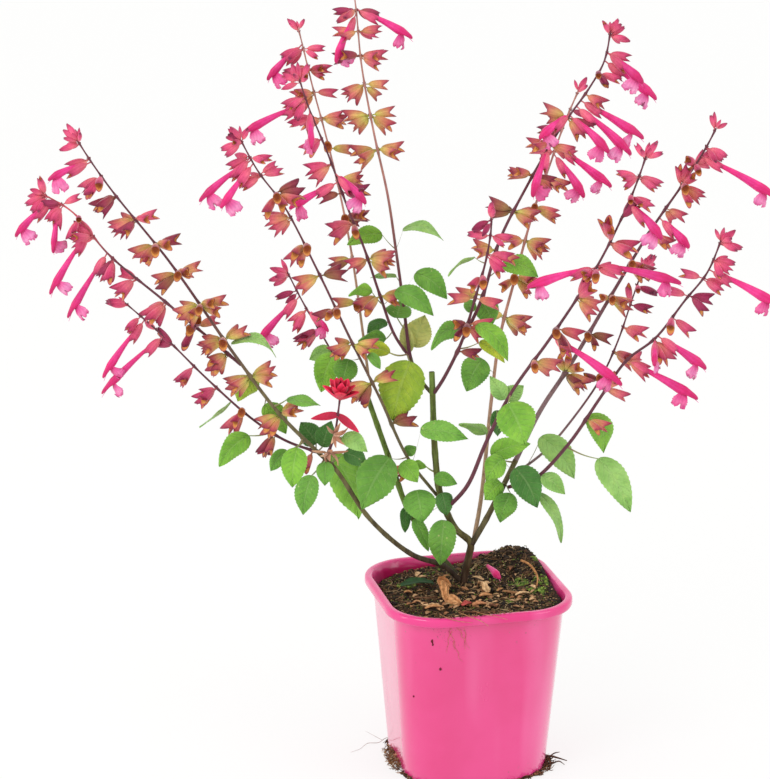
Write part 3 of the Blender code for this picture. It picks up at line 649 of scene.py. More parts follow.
def stem_material():
    """A thin stem with fine streaks along it."""
    s = Shader("sage_stem", Specular_IOR_Level=0.3, Sheen_Weight=0.1)
    tint = s.tint()
    streaks = s.noise(420, 3.0, (1.0, 1.0, 0.12))
    colour = s.mix(s.span(streaks, 0.35, 0.65), s.tinted(tint, (0.68, 0.64, 0.64)), tint)
    colour = s.mix(s.times(s.span(s.noise(90, 2.0), 0.5, 0.7), 0.35), colour,
                   s.tinted(tint, (1.25, 1.35, 1.05)))
    s.bump(streaks, 0.12)
    return s.finish(colour, s.span(streaks, 0.3, 0.7, 0.5, 0.68))


def bark_material():
    """Thin bark: lengthwise cracks, pale corky spots and dark stains."""
    s = Shader("sage_bark", Specular_IOR_Level=0.25)
    tint = s.tint()
    cracks = s.noise(330, 4.0, (1.0, 1.0, 0.16))
    spots = s.span(s.cells(420), 0.0, 0.16, 1.0, 0.0)
    stains = s.span(s.noise(65, 3.0), 0.45, 0.7)
    colour = s.mix(s.span(cracks, 0.32, 0.62), s.tinted(tint, (0.42, 0.38, 0.34)), tint)
    colour = s.mix(s.times(stains, 0.5), colour, s.tinted(tint, (0.78, 0.52, 0.5)))
    colour = s.mix(s.times(spots, 0.4), colour, s.tinted(tint, (1.6, 1.5, 1.35)))
    s.bump(cracks, 0.35)
    s.bump(spots, 0.12)
    return s.finish(colour, s.span(cracks, 0.3, 0.7, 0.6, 0.8))


def calyx_material():
    """A papery ribbed cup, finely hairy."""
    s = Shader("calyx", Specular_IOR_Level=0.3, Sheen_Weight=0.25, Sheen_Roughness=0.4)
    tint = s.tint()
    blotch = s.noise(230, 3.0)
    veins = s.noise(900, 2.0)
    colour = s.mix(s.span(blotch, 0.35, 0.68), s.tinted(tint, (0.90, 0.78, 0.84)), tint)
    colour = s.mix(s.times(s.span(blotch, 0.55, 0.75), 0.5), colour,
                   s.tinted(tint, (1.25, 1.32, 1.1)))
    colour = s.mix(s.times(s.span(veins, 0.5, 0.7), 0.25), colour,
                   s.tinted(tint, (0.7, 0.5, 0.55)))
    s.bump(veins, 0.10)
    return s.finish(colour, s.span(veins, 0.3, 0.7, 0.45, 0.62))


def petal_material():
    """A satin petal with fine veins."""
    s = Shader("petal", Specular_IOR_Level=0.35, Sheen_Weight=0.3, Sheen_Roughness=0.35)
    tint = s.tint()
    veins = s.noise(620, 2.0)
    glow = s.noise(160, 2.0)
    colour = s.mix(s.span(glow, 0.35, 0.68), s.tinted(tint, (0.84, 0.62, 0.8)), tint)
    colour = s.mix(s.times(s.span(veins, 0.5, 0.68), 0.25), colour,
                   s.tinted(tint, (0.86, 0.45, 0.72)))
    s.bump(veins, 0.08)
    return s.finish(colour, s.span(veins, 0.3, 0.7, 0.36, 0.5))


def pot_material():
    """Glossy moulded plastic, faintly uneven, with dried soil in specks and smears under the lip."""
    s = Shader("pot_plastic", Specular_IOR_Level=0.5, Coat_Roughness=0.08)
    uneven = s.noise(14, 3.0)
    colour = s.mix(s.span(uneven, 0.3, 0.7), tuple(srgb(216, 38, 118)), tuple(srgb(224, 50, 130)))
    # The tint mark darkens the inner wall: painted shade inside the pot.
    colour = s.tinted(colour, s.tint())
    # Painted highlight: soft vertical streaks of paler pink up the wall.
    highlight_bands = s.noise(26, 2.0, (1.0, 1.0, 0.12))
    colour = s.mix(s.span(highlight_bands, 0.52, 0.72, 0.0, 0.3), colour, tuple(srgb(244, 130, 184)))
    height = s.node("ShaderNodeSeparateXYZ", {"Vector": s.place()}, output=2)
    near_lip = s.span(height, 0.085, 0.132, 0.0, 1.0)
    at_foot = s.span(height, 0.0, 0.022, 1.0, 0.0)
    specks = s.span(s.noise(330, 2.0), 0.70, 0.76)
    specks = s.times(specks, s.math("ADD", s.times(near_lip, 0.7), at_foot))
    smear = s.times(s.span(s.noise(60, 4.0), 0.60, 0.78), s.span(height, 0.122, 0.136))
    dirt = s.math("MAXIMUM", specks, s.times(smear, 0.55))
    colour = s.mix(dirt, colour, tuple(srgb(92, 52, 40)))
    scuffs = s.noise(45, 4.0, (1.0, 1.0, 0.25))
    s.bump(uneven, 0.5)
    s.bump(dirt, 0.15)
    rough = s.math("ADD", s.span(scuffs, 0.35, 0.75, 0.16, 0.28), s.times(dirt, 0.4))
    s.tree.links.new(s.span(height, 0.127, 0.131, 1.0, 0.3), s.surface.inputs["Coat Weight"])
    return s.finish(colour, rough)


def soil_material():
    """Moist peat: nearly black, with brown fibres and a few pale grains."""
    s = Shader("peat", Specular_IOR_Level=0.25)
    tint = s.tint()
    lumps = s.noise(260, 6.0, rough=0.7)
    fibres = s.noise(700, 3.0, (1.0, 0.2, 1.0))
    colour = s.mix(s.span(lumps, 0.38, 0.62), s.tinted(tint, (0.30, 0.28, 0.26)), tint)
    colour = s.mix(s.times(s.span(fibres, 0.56, 0.72), 0.6), colour,
                   s.tinted(tint, (2.6, 2.1, 1.6)))
    s.bump(lumps, 1.4)
    s.bump(fibres, 0.3)
    return s.finish(colour, s.span(lumps, 0.3, 0.7, 0.75, 0.98))


def litter_material():
    """Dry plant litter: fibrous and matt, in each piece's own tint."""
    s = Shader("litter", Specular_IOR_Level=0.25)
    tint = s.tint()
    fibres = s.noise(380, 4.0)
    colour = s.mix(s.span(fibres, 0.35, 0.65), s.tinted(tint, (0.55, 0.5, 0.45)), tint)
    s.bump(fibres, 0.3)
    return s.finish(colour, s.span(fibres, 0.3, 0.7, 0.7, 0.9))


# --- Pot -------------------------------------------------------------------------------------------
def rounded_square(half, corner, z):
    """The pot's outline at one height, turned as the pot stands."""
    ring = []
    for quarter in range(4):
        diagonal = math.pi / 4 + quarter * math.pi / 2
        centre_x = math.copysign(half - corner, math.cos(diagonal))
        centre_y = math.copysign(half - corner, math.sin(diagonal))
        for step in range(CORNER_STEPS + 1):
            angle = (quarter + step / CORNER_STEPS) * math.pi / 2
            x = centre_x + corner * math.cos(angle)
            y = centre_y + corner * math.sin(angle)
            turned_x = x * math.cos(POT_TURN) - y * math.sin(POT_TURN)
            turned_y = x * math.sin(POT_TURN) + y * math.cos(POT_TURN)
            ring.append((turned_x, turned_y, z))
    return ring


def wall_ring(z, inset):
    """The outline of the pot's tapered wall at a height, moved in or out."""
    share = z / (POT_HEIGHT - LIP_HEIGHT)
    half = between(BASE_HALF, RIM_HALF - LIP_REACH, share)
    corner = between(BASE_CORNER, RIM_CORNER - LIP_REACH, share)
    return rounded_square(half + inset, corner + inset, z)


def make_pot():
    under_lip = POT_HEIGHT - LIP_HEIGHT
    rings = [wall_ring(z, inset) for inset, z in POT_FOOT]
    rings += [wall_ring(z, 0.0) for z in np.linspace(8.0, under_lip - 2.5, 12)]
    rings += [wall_ring(under_lip - 1.0, 0.15), wall_ring(under_lip, 0.9)]
    for inset, below_top in POT_LIP:
        rings.append(rounded_square(RIM_HALF + inset, RIM_CORNER + inset, POT_HEIGHT - below_top))
    inside = [wall_ring(z, -WALL) for z in np.linspace(under_lip, FLOOR + 3, 10)]
    inside += [wall_ring(FLOOR + 0.8, -WALL - 0.7), wall_ring(FLOOR, -WALL - 3.0)]
    # The inner wall's rings take a darker tint, painted shade inside the pot.
    tints = np.array([POT_OUTSIDE] * len(rings) + [POT_INSIDE_SHADE] * len(inside))
    shape = Shape()
    shape.loft(rings + inside, tints[:, None, :])
    pot = make_piece("nursery_pot", shape, pot_material(), ["pot"])
    drills = Shape()
    for hole in range(DRAIN_HOLES):
        angle = POT_TURN + 2 * math.pi * (hole + 0.5) / DRAIN_HOLES
        centre = np.array([DRAIN_RING * math.cos(angle), DRAIN_RING * math.sin(angle), 0.0])
        ends = [centre - 5 * UP, centre + (FLOOR + 5) * UP]
        drills.tube(ends, (DRAIN_RADIUS, DRAIN_RADIUS), 32, (1.0, 1.0, 1.0))
    cutter = make_piece("drain_holes", drills, pot.data.materials[0])
    cut = pot.modifiers.new("drain_holes", "BOOLEAN")
    cut.operation = "DIFFERENCE"
    cut.solver = "EXACT"
    cut.object = cutter
    graph = bpy.context.evaluated_depsgraph_get()
    mesh = bpy.data.meshes.new_from_object(pot.evaluated_get(graph))
    pot.modifiers.clear()
    pot.data = mesh
    pot.data.set_sharp_from_angle(angle=SHARP_ANGLE)
    bpy.data.objects.remove(cutter)


# --- Soil and litter -------------------------------------------------------------------------------
def soil_height(x, y):
    height = SOIL_LEVEL + SOIL_SLOPE[0] * x + SOIL_SLOPE[1] * y
    for mound_x, mound_y, rise, spread in SOIL_MOUNDS:
        away = math.hypot(x - mound_x, y - mound_y) / spread
        height += rise * math.exp(-away * away / 2)
    return height


def soil_relief(x, y):
    """Lumps and crumbs on the soil's surface."""
    spot = Vector((x, y, 0.0))
    lumps = noise.fractal(spot / 13, 0.8, 2.1, 5)
    crumbs = abs(noise.noise(spot / 2.6 + Vector((7, 3, 1))))
    return 1.5 * lumps + 1.5 * crumbs - 0.9


PEAT = srgb(56, 44, 32)
PEAT_TINTS = [srgb(50, 40, 30), srgb(66, 50, 36), srgb(86, 62, 42), srgb(38, 31, 26), srgb(46, 37, 29),
              srgb(112, 84, 56), srgb(76, 58, 40), srgb(58, 47, 34), srgb(160, 132, 98)]
GRAIN_TINTS = [srgb(168, 138, 98), srgb(112, 84, 58), srgb(92, 98, 52), srgb(196, 172, 134),
               srgb(128, 96, 70), srgb(84, 64, 46), srgb(120, 140, 60), srgb(98, 120, 46)]
FIBRE_TINTS = [srgb(120, 86, 56), srgb(160, 126, 88), srgb(84, 58, 42), srgb(190, 164, 124)]
MOSS_TINTS = [srgb(108, 136, 52), srgb(146, 170, 72), srgb(80, 104, 42)]
TUFT_TINTS = [srgb(128, 88, 58), srgb(96, 62, 44), srgb(172, 130, 90), srgb(198, 162, 122),
              srgb(142, 100, 66)]
ROOT_TINTS = [srgb(84, 54, 38), srgb(120, 78, 52), srgb(60, 42, 34), srgb(160, 112, 76),
              srgb(104, 66, 46)]
TAN = srgb(206, 152, 104)
LIGHT_TAN = srgb(226, 188, 142)
TWIG_TINT = srgb(92, 64, 50)
RIM_ROOT_TINT = srgb(186, 136, 92)
THIN_ROOT_TINT = srgb(186, 170, 160)
CRUMBS = 2300
CRUMB_SIZES = (0.35, 0.45, 0.5, 0.6, 0.7, 0.8, 1.0, 1.3, 1.7)
GRAINS = 1900
FIBRES = 620
FRONT_SCRAPS = 90             # small tan scraps of litter on the front of the soil
FRINGE_BITS = 1300            # tried round the pot's foot; most of those at the front and back are left out
ROOT_FLOOR = 0.5              # how low a root at the pot's foot may pass
RIM_GRAINS = 160              # on the lip
FRONT_GRAINS = 60
LUMP_ROWS = 5
LUMP_SPOKES = 7
# Dead leaves: points of the path as (x, y, height over the soil), width, tint.
DEAD_LEAVES = [
    ([(-13, 0, 2), (-19, -4, 9), (-18, -10, 8), (-16, -18, 3), (-12, -24, 4), (-6, -31, 3)], 10,
     srgb(220, 164, 112)),
    ([(9, 0, 2), (12, -8, 8), (15, -15, 4)], 8, LIGHT_TAN),
]
# Scraps of leaf and bark: x, y, length, width, heading in degrees, tint.
SCRAPS = [
    (-36, 36, 9, 5, 70, LIGHT_TAN), (-33, 29, 6, 4, 20, LIGHT_TAN), (8, 12, 10, 4, -35, LIGHT_TAN),
    (15, 4, 8, 5, 60, LIGHT_TAN), (13, -17, 10, 6, 10, TAN), (-25, -34, 14, 5, 12, TAN),
    (-31, -30, 7, 4, -30, LIGHT_TAN), (40, -16, 11, 4, 25, LIGHT_TAN),
    (8, -33, 11, 7, 15, srgb(210, 146, 104)),
    (17, -37, 7, 4, -25, srgb(120, 78, 56)), (-1, -31, 9, 7, 35, srgb(196, 84, 80)), (24, -6, 7, 3, 50, TAN),
    (-44, 0, 6, 4, 0, TAN), (33, 25, 6, 3, 80, srgb(150, 96, 66)), (48, -4, 7, 4, -60, LIGHT_TAN),
    (-15, 24, 6, 3, 30, TAN),
]
# Twigs on the soil: points as (x, y, height over the soil), radius, tint.
TWIGS = [
    ([(41, 28, 4), (47, 18, 6), (52, 7, 4), (51, -5, 2.5)], 0.9, srgb(196, 140, 88)),
    ([(26, -9, 2), (32, -14, 3), (41, -17, 2)], 0.8, srgb(176, 128, 88)),
    ([(-40, -12, 2), (-30, -16, 3), (-22, -13, 2)], 0.6, srgb(120, 84, 60)),
    ([(-8, -44, 2), (6, -50, 3), (20, -49, 2)], 0.6, srgb(110, 76, 54)),
]
# Patches of moss: x, y, radius, number of cushions tried. The last one is scattered over all the soil.
MOSS = [(-45, 19, 7, 70), (-38, 28, 4, 20), (39, 7, 8, 70), (55, 36, 6, 50), (58, 8, 9, 110),
        (52, -8, 7, 40), (30, -28, 4, 10), (-28, 40, 5, 20), (0, 0, 60, 160)]
# Roots over the rim: points, radius.
RIM_ROOTS = [
    ([(-8, -64, 138.2), (-2, -71, 138.4), (8, -74.5, 135.5), (13, -72, 131.0)], 0.3),
    ([(2, -60, 138.3), (9, -68, 138.8), (19, -70.5, 137.6), (27, -68.5, 134.5)], 0.25),
    ([(-22, -66, 138.0), (-17, -74, 138.2), (-9, -75.2, 136.0), (2, -73.5, 134.0)], 0.25),
]
# Dark spots on the pot's front as (x, height, size), and root hairs as (x, height, lean).
FRONT_SPOTS = ((-27.0, 118.0, 1.1), (-26.6, 115.5, 0.8), (-21.0, 96.0, 0.9), (-40.0, 71.0, 0.6))
FRONT_HAIRS = ((-15, 128, 5), (-13, 126, -4), (-9, 128, 9), (-4, 127, 2), (-12, 118, 6))
# Tufts at the pot's foot: from, to, (reach, height), number of bits.
FOOT_TUFTS = [
    ((-57.0, 8.0, 0.0), (-48.5, -32.0, 0.0), (5.5, 7.0), 240),
    ((50.0, -32.0, 0.0), (57.0, -4.0, 0.0), (6.0, 3.5), 120),
]
# Twigs and thin roots at the pot's foot: points, radius, tint, sides.
FOOT_ROOTS = [
    ([(55, -12, 3), (62, -13, 5), (68, -14, 4), (75, -16, 2.5)], 0.8, TWIG_TINT, 6),
    ([(62, -13, 4.5), (66, -10, 6), (70, -9, 6.5)], 0.5, TWIG_TINT, 6),
    ([(64, -18, 1.0), (69, -17, 2.5), (73, -20, 1.0)], 0.5, TWIG_TINT, 6),
    ([(-52, 30, 2.5), (-60, 28, 2.2), (-66, 22, 0.9), (-74, 19, 1.6), (-80, 10, 0.8), (-87, 4, 0.6)], 0.22,
     THIN_ROOT_TINT, 5),
    ([(-63, 25, 1.6), (-70, 30, 3.5), (-76, 36, 4.5)], 0.14, THIN_ROOT_TINT, 5),
]


def finer(outline):
    """An outline with three more points along each of its sides."""
    return [between(np.array(a), np.array(b), share) for a, b in zip(outline, outline[1:] + outline[:1])
            for share in (0.0, 0.25, 0.5, 0.75)]


def make_soil():
    shape = Shape()
    rings = [finer(wall_ring(FLOOR + SOIL_GAP, -WALL - SOIL_GAP))]
    outline = finer(wall_ring(SOIL_LEVEL - 6, -WALL - SOIL_GAP))
    for scale in np.linspace(1.0, 0.02, 64):
        ring = []
        for x, y, _ in outline:
            x, y = x * scale, y * scale
            sunk = 1.5 * step_up(scale, 0.93, 1.0)
            ring.append((x, y, soil_height(x, y) + soil_relief(x, y) - sunk))
        rings.append(ring)
    shape.loft(rings, tuple(PEAT))
    make_piece("potting_mix", shape, soil_material(), ["potting_soil"])


def lump(shape, centre, size, tint, rng, rough=0.35, flat=0.8):
    """A small uneven closed lump."""
    rings = []
    turn = rng.uniform(0, math.pi)
    stretch = rng.uniform(0.7, 1.4)
    for step in range(LUMP_ROWS):
        polar = math.pi * (0.12 + 0.76 * step / (LUMP_ROWS - 1))
        ring = []
        for spoke in range(LUMP_SPOKES):
            angle = 2 * math.pi * spoke / LUMP_SPOKES + turn
            radius = size * (1 + rough * rng.uniform(-1, 1)) * math.sin(polar)
            ring.append(centre + (radius * math.cos(angle) * stretch, radius * math.sin(angle),
                                  size * flat * math.cos(polar)))
        rings.append(ring)
    shape.loft(rings, tuple(tint))


def on_soil(x, y, lift=0.0):
    return np.array([x, y, soil_height(x, y) + lift])


def inside_pot(x, y, margin):
    """Whether a spot on the soil is inside the pot's wall by a margin."""
    turned_x = abs(x * math.cos(POT_TURN) + y * math.sin(POT_TURN))
    turned_y = abs(y * math.cos(POT_TURN) - x * math.sin(POT_TURN))
    half = RIM_HALF - LIP_REACH - WALL - margin
    corner = RIM_CORNER - LIP_REACH
    over_x = max(turned_x - (half - corner), 0.0)
    over_y = max(turned_y - (half - corner), 0.0)
    return math.hypot(over_x, over_y) < corner


def make_crumbs(material):
    """Loose crumbs of peat and bark all over the soil, and grains and fibres between them."""
    rng = random.Random(11)
    lump_points = LUMP_ROWS * LUMP_SPOKES
    crumbs = Shape()
    while crumbs.count < lump_points * CRUMBS:
        x, y = rng.uniform(-66, 66), rng.uniform(-66, 66)
        size = rng.choice(CRUMB_SIZES)
        if inside_pot(x, y, 2.0 + size):
            centre = on_soil(x, y, soil_relief(x, y) + 0.35 * size)
            tint = rng.choice(PEAT_TINTS if size < 1.0 else PEAT_TINTS[:7])
            lump(crumbs, centre, size, tint, rng, 0.55)
    make_piece("soil_crumbs", crumbs, material, smooth=False)
    grains = Shape()
    while grains.count < lump_points * GRAINS:
        x, y = rng.uniform(-66, 66), rng.uniform(-66, 66)
        size = rng.uniform(0.25, 0.6)
        if inside_pot(x, y, 2.0):
            place = on_soil(x, y, soil_relief(x, y) + rng.uniform(0.4, 1.6))
            lump(grains, place, size, rng.choice(GRAIN_TINTS), rng, 0.6)
    make_piece("soil_grains", grains, material, smooth=False)
    fibres = Shape()
    for _ in range(FIBRES):
        x, y = rng.uniform(-62, 62), rng.uniform(-62, 62)
        if inside_pot(x, y, 6.0):
            fibre(fibres, x, y, rng)
    make_piece("soil_fibres", fibres, material)


def fibre(shape, x, y, rng):
    """A short bent fibre that lies on the soil."""
    heading = rng.uniform(0, 2 * math.pi)
    length = rng.uniform(5, 15)
    bend = rng.uniform(-1.2, 1.2)
    path = []
    for share in np.linspace(-0.5, 0.5, 7):
        angle = heading + bend * share
        px = x + length * share * math.cos(angle)
        py = y + length * share * math.sin(angle)
        path.append(on_soil(px, py, soil_relief(px, py) + 0.9 + 1.5 * (0.25 - share * share)))
    tint = rng.choice(FIBRE_TINTS)
    shape.tube(path, [rng.choice((0.14, 0.18, 0.25))] * len(path), 5, tint)


def strand(shape, points, radius, tint, sides=6):
    path = smooth_curve(points, 6)
    radii = np.interp(np.linspace(0, 1, len(path)), (0, 0.5, 1), (radius, radius, radius * 0.4))
    shape.tube(path, radii, sides, tint)


def flake(shape, centre, length, width, heading, curl, tint, rng):
    """A curled scrap of dead leaf or bark, with torn ends."""
    rings = []
    across_count = 9
    for share in np.linspace(0, 1, 9):
        half = width / 2 * (0.35 + 0.65 * math.sin(math.pi * min(max(share, 0.06), 0.94)))
        half *= rng.uniform(0.85, 1.15)
        row = []
        for v in np.linspace(-1, 1, across_count):
            angle = v * curl
            bend = half / max(curl, 0.01)
            row.append(np.array([(share - 0.5) * length, math.sin(angle) * bend,
                                 (math.cos(angle) - 1) * -bend + rng.uniform(-0.15, 0.15)
                                 + 0.08 * length * math.sin(math.pi * share)]))
        under = [p - (0, 0, 0.35) for p in reversed(row)]
        rings.append(row + under)
    turned = []
    for ring in rings:
        turned.append([centre + (p[0] * math.cos(heading) - p[1] * math.sin(heading),
                                 p[0] * math.sin(heading) + p[1] * math.cos(heading), p[2]) for p in ring])
    shape.loft(turned, tuple(tint))


def crumpled(shape, points, width, tint, rng):
    """A dead leaf: a sheet along a path, with torn edges, folded across into a random zigzag."""
    path = smooth_curve(points, 5)
    v = np.linspace(-1, 1, 11)
    rings = []
    tints = []
    folds = [rng.uniform(0, 2 * math.pi) for _ in range(3)]
    for number, middle in enumerate(path):
        share = number / (len(path) - 1)
        along = unit(path[min(number + 1, len(path) - 1)] - path[max(number - 1, 0)])
        side = unit(np.cross(along, np.array([0.3, -0.9, 0.5])))
        face = np.cross(side, along)
        half = width / 2 * math.sin(math.pi * between(0.10, 0.93, share)) ** 0.6 * rng.uniform(0.82, 1.15)
        half *= 1 - 0.4 * math.exp(-((share - 0.55) / 0.14) ** 2)
        fold = (0.22 * np.cos(4.2 * v + folds[0] + 5 * share) + 0.13 * np.cos(8.5 * v + folds[1] - 7 * share)
                + 0.35 * v * v * math.cos(folds[2] + 4 * share)) * width / 2
        top = middle + np.outer(v * half, side) + np.outer(fold, face)
        rings.append(np.vstack([top, top[::-1] - face * 0.35]))
        # Painted highlight and shade: the tint is lighter on the raised folds and darker in the creases, in
        # step with the fold above.
        shade = 1 + 0.22 * np.cos(8.5 * v + folds[1] - 7 * share) * np.ones(len(v))
        tints.append(np.array(tint) * np.concatenate([shade, shade[::-1]])[:, None])
    shape.loft(rings, np.array(tints))


def make_litter(material, petals):
    """Dead leaves, scraps, twigs, moss and one fallen petal."""
    rng = random.Random(23)
    dead = Shape()
    for spots, width, tint in DEAD_LEAVES:
        crumpled(dead, [on_soil(*spot) for spot in spots], width, tint, rng)
    flake(dead, on_soil(-37, 8, 4.5), 25, 13, math.radians(12), 0.5, srgb(46, 82, 44), rng)
    for x, y, length, width, heading, tint in SCRAPS:
        flake(dead, on_soil(x, y, 2.0), length, width, math.radians(heading), 0.8, tint, rng)
    for _ in range(FRONT_SCRAPS):
        x, y = rng.uniform(-44, 50), rng.gauss(-24, 13)
        if inside_pot(x, y, 9.0):
            tint = between(srgb(170, 116, 78), LIGHT_TAN, rng.random()) * rng.uniform(0.8, 1.1)
            flake(dead, on_soil(x, y, 1.8), rng.uniform(2.5, 6.0), rng.uniform(1.5, 3.2),
                  rng.uniform(0, 2 * math.pi), 0.7, tint, rng)
    make_piece("dead_leaf_litter", dead, material)
    twigs = Shape()
    for spots, radius, tint in TWIGS:
        strand(twigs, [on_soil(*spot) for spot in spots], radius, tint)
    make_piece("twig_litter", twigs, material)
    moss = Shape()
    for x, y, reach, count in MOSS:
        for _ in range(count):
            angle, far = rng.uniform(0, 2 * math.pi), reach * math.sqrt(rng.random())
            px, py = x + far * math.cos(angle), y + far * 0.7 * math.sin(angle)
            if inside_pot(px, py, 3.0):
                tint = rng.choice(MOSS_TINTS)
                size = rng.uniform(0.35, 0.8) if reach > 20 else rng.uniform(0.6, 1.3)
                lump(moss, on_soil(px, py, soil_relief(px, py) + 0.8), size, tint, rng, 0.6)
    make_piece("moss", moss, material)
    fallen = Shape()
    corolla(fallen, on_soil(14, 26, 8.0), np.array([10.0, -24.0, -3.0]), 1.1, rng, lip=False)
    make_piece("fallen_petal", fallen, petals)


def make_rim_dirt(material):
    """Thin roots that hang over the rim, and grains of peat stuck on the pot's front."""
    rng = random.Random(37)
    dirt = Shape()
    for path, radius in RIM_ROOTS:
        strand(dirt, path, radius, RIM_ROOT_TINT, 5)
    for x, z, size in FRONT_SPOTS:
        lump(dirt, on_front(x, z), size, srgb(110, 26, 44), rng, flat=1.4)
    for _ in range(FRONT_GRAINS):
        x, z = rng.gauss(-13, 9), rng.gauss(124, 6)
        if z < 130:
            lump(dirt, on_front(x, z), rng.uniform(0.12, 0.3), rng.choice(ROOT_TINTS), rng)
    for x, z, lean in FRONT_HAIRS:
        path = [on_front(x + lean * share + rng.uniform(-1.2, 1.2), z - 17 * share) - (0, 0.35, 0)
                for share in np.linspace(0, 1, 6)]
        strand(dirt, path, 0.15, srgb(208, 128, 104), 5)
    for _ in range(RIM_GRAINS):
        x = rng.gauss(4, 16)
        place = on_front(x, 130.0) + (0, rng.uniform(-5.5, 0.0), 8.0)
        lump(dirt, place, rng.uniform(0.2, 0.6), rng.choice(ROOT_TINTS), rng)
    make_piece("rim_roots", dirt, material)


def on_front(x, z):
    """The place on the pot's outer wall, on the side that faces the camera, at a given x and height."""
    ring = wall_ring(z, 0.0)
    y = min(between(a[1], b[1], (x - a[0]) / (b[0] - a[0])) for a, b in zip(ring, ring[1:] + ring[:1])
            if min(a[0], b[0]) <= x <= max(a[0], b[0]) and a[0] != b[0])
    return np.array([x, y, z])


def above_floor(point):
    return np.array([point[0], point[1], max(point[2], ROOT_FLOOR)])


def foot_tuft(shape, start, end, size, count, rng):
    """A dense clump of short roots and crumbs against the pot's foot, from one place to another."""
    reach, height = size
    for _ in range(count):
        place = between(start, end, min(max(rng.gauss(0.5, 0.24), 0.0), 1.0))
        outward = unit(place * (1.0, 1.0, 0.0))
        out = rng.random() ** 1.6
        place = place + outward * reach * out + UP * (0.6 + height * (1 - out) * rng.random())
        tint = rng.choice(TUFT_TINTS)
        if rng.random() < 0.4:
            lump(shape, place, rng.uniform(0.4, 0.9), tint, rng, 0.7)
            continue
        path = [place]
        for _ in range(3):
            turn = np.array([rng.uniform(-1, 1), rng.uniform(-1, 1), rng.uniform(-0.7, 0.9)])
            ahead = path[-1] + unit(turn + 0.4 * outward) * rng.uniform(0.8, 3.0)
            path.append(above_floor(ahead))
        strand(shape, path, rng.uniform(0.10, 0.34), tint, 5)


def make_foot_fringe(material):
    """Roots and peat squeezed out from under the pot: a fringe round its foot, thickest at both sides."""
    rng = random.Random(31)
    fringe = Shape()
    outline = [np.array(p) for p in rounded_square(BASE_HALF - 2.0, BASE_CORNER - 2.0, 0.0)]
    for _ in range(FRINGE_BITS):
        spot = rng.randrange(len(outline))
        place = between(outline[spot], outline[spot - 1], rng.random())
        outward = unit(place)
        heavy = math.exp(-((outward[1] + 0.33) / 0.3) ** 2)
        if rng.random() > 0.25 + 0.75 * heavy:
            continue
        place = place + outward * rng.uniform(1.0, 3.0 + 4.0 * heavy)
        size = rng.uniform(0.35, 1.0)
        height = size * 0.9 + rng.uniform(0, 1.0 + 4.5 * heavy) * rng.random()
        if rng.random() < 0.5:
            lump(fringe, place + UP * height, size, rng.choice(ROOT_TINTS), rng, 0.5)
            continue
        side = np.cross(UP, outward) * rng.choice((-1, 1))
        path = [place + UP * height]
        for _ in range(3):
            step = unit(side * rng.uniform(0.3, 1.0) + outward * rng.uniform(-0.4, 0.6))
            ahead = path[-1] + step * rng.uniform(1.5, 3.2) + UP * rng.uniform(-1.2, 1.4)
            path.append(above_floor(ahead))
        strand(fringe, path, rng.uniform(0.2, 0.4), rng.choice(ROOT_TINTS), 5)
    for start, end, size, count in FOOT_TUFTS:
        foot_tuft(fringe, np.array(start), np.array(end), size, count, rng)
    for path, radius, tint, sides in FOOT_ROOTS:
        strand(fringe, path, radius, tint, sides)
    make_piece("foot_roots", fringe, material)


# --- Stems -----------------------------------------------------------------------------------------
def stem_path(branch, start, end, step, knots, swell):
    """Points and radii along a stem, with a swollen knot at each fraction in knots."""
    count = max(4, round((end - start) * branch.length / step))
    fractions = np.linspace(start, end, count + 1)
    radii = branch.radius(fractions)
    for knot in knots:
        away = (fractions - knot) * branch.length / 1.9
        radii = radii * (1 + swell * np.exp(-away * away / 2))
    return fractions, branch.at(fractions), radii


FOOT_DARKENING = 0.85                  # how dark the woody stems are where they leave the soil
FOOT_DARKENING_REACH = {"crown": 0.36, "left": 0.60, "green": 0.30}    # how far up that goes, by their length


def woody_stem(node, material):
    name, branch_name, start, end = WOODY[node]
    branch = BRANCH[branch_name]
    knots = np.arange(start + 0.06, end, 24 / branch.length)
    fractions, points, radii = stem_path(branch, start, end, 2.2, knots, 0.10)
    rng = random.Random(node)
    low = STEM_TINTS.get(branch_name, STEM_TINTS["bark"])
    high = STEM_TINTS["green"] if branch_name in ("green", "crown") else STEM_TINTS["olive"]
    share = (fractions - start) / (end - start)
    tints = between(low, high, share[:, None]) * np.array([[rng.uniform(0.94, 1.06)] for _ in fractions])
    darkened = FOOT_DARKENING * step_up(share, FOOT_DARKENING_REACH.get(branch_name, 0.08), 0.0)[:, None]
    tints = between(tints, srgb(58, 42, 36), darkened)
    shape = Shape()
    if end == 1.0:
        cut = points[-1] + 0.15 * unit(points[-1] - points[-2])
        points = np.vstack([points, cut, cut])
        radii = np.append(radii, [radii[-1] * 0.97, radii[-1] * 0.78])
        tints = np.vstack([tints, srgb(150, 140, 96), srgb(214, 200, 158)])
    shape.tube(points, radii, 16, tints, 0.05)
    make_piece(name, shape, material, [node])


# --- Calyces and flowers ---------------------------------------------------------------------------
CALYX_SIDES = 18
CALYX_STRIPE = 0.16           # how much darker its ribs are
CALYX_FLUSH = np.array([0.88, 0.52, 0.84])    # what the tint of its sunny side is multiplied by
CALYX_SHADE = np.array([1.10, 1.34, 1.24])    # and that of its underside
CALYX_STATIONS = (0.0, 0.09, 0.17, 0.20, 0.25, 0.32, 0.42, 0.54, 0.66, 0.78, 0.90, 1.0)
OPEN_RADII = (0.50, 0.42, 0.50, 1.15, 1.80, 2.30, 2.75, 3.05, 3.30, 3.55, 3.75, 3.70)
BUD_RADII = (0.50, 0.42, 0.48, 1.00, 1.50, 2.00, 2.45, 2.70, 2.60, 2.10, 1.20, 0.15)
THROAT = 0.70                 # the station above which the lips part
INNER_STATIONS = ((0.965, 0.30), (0.88, 0.40), (0.80, 0.55), (0.72, 0.90), (0.66, 1.70))


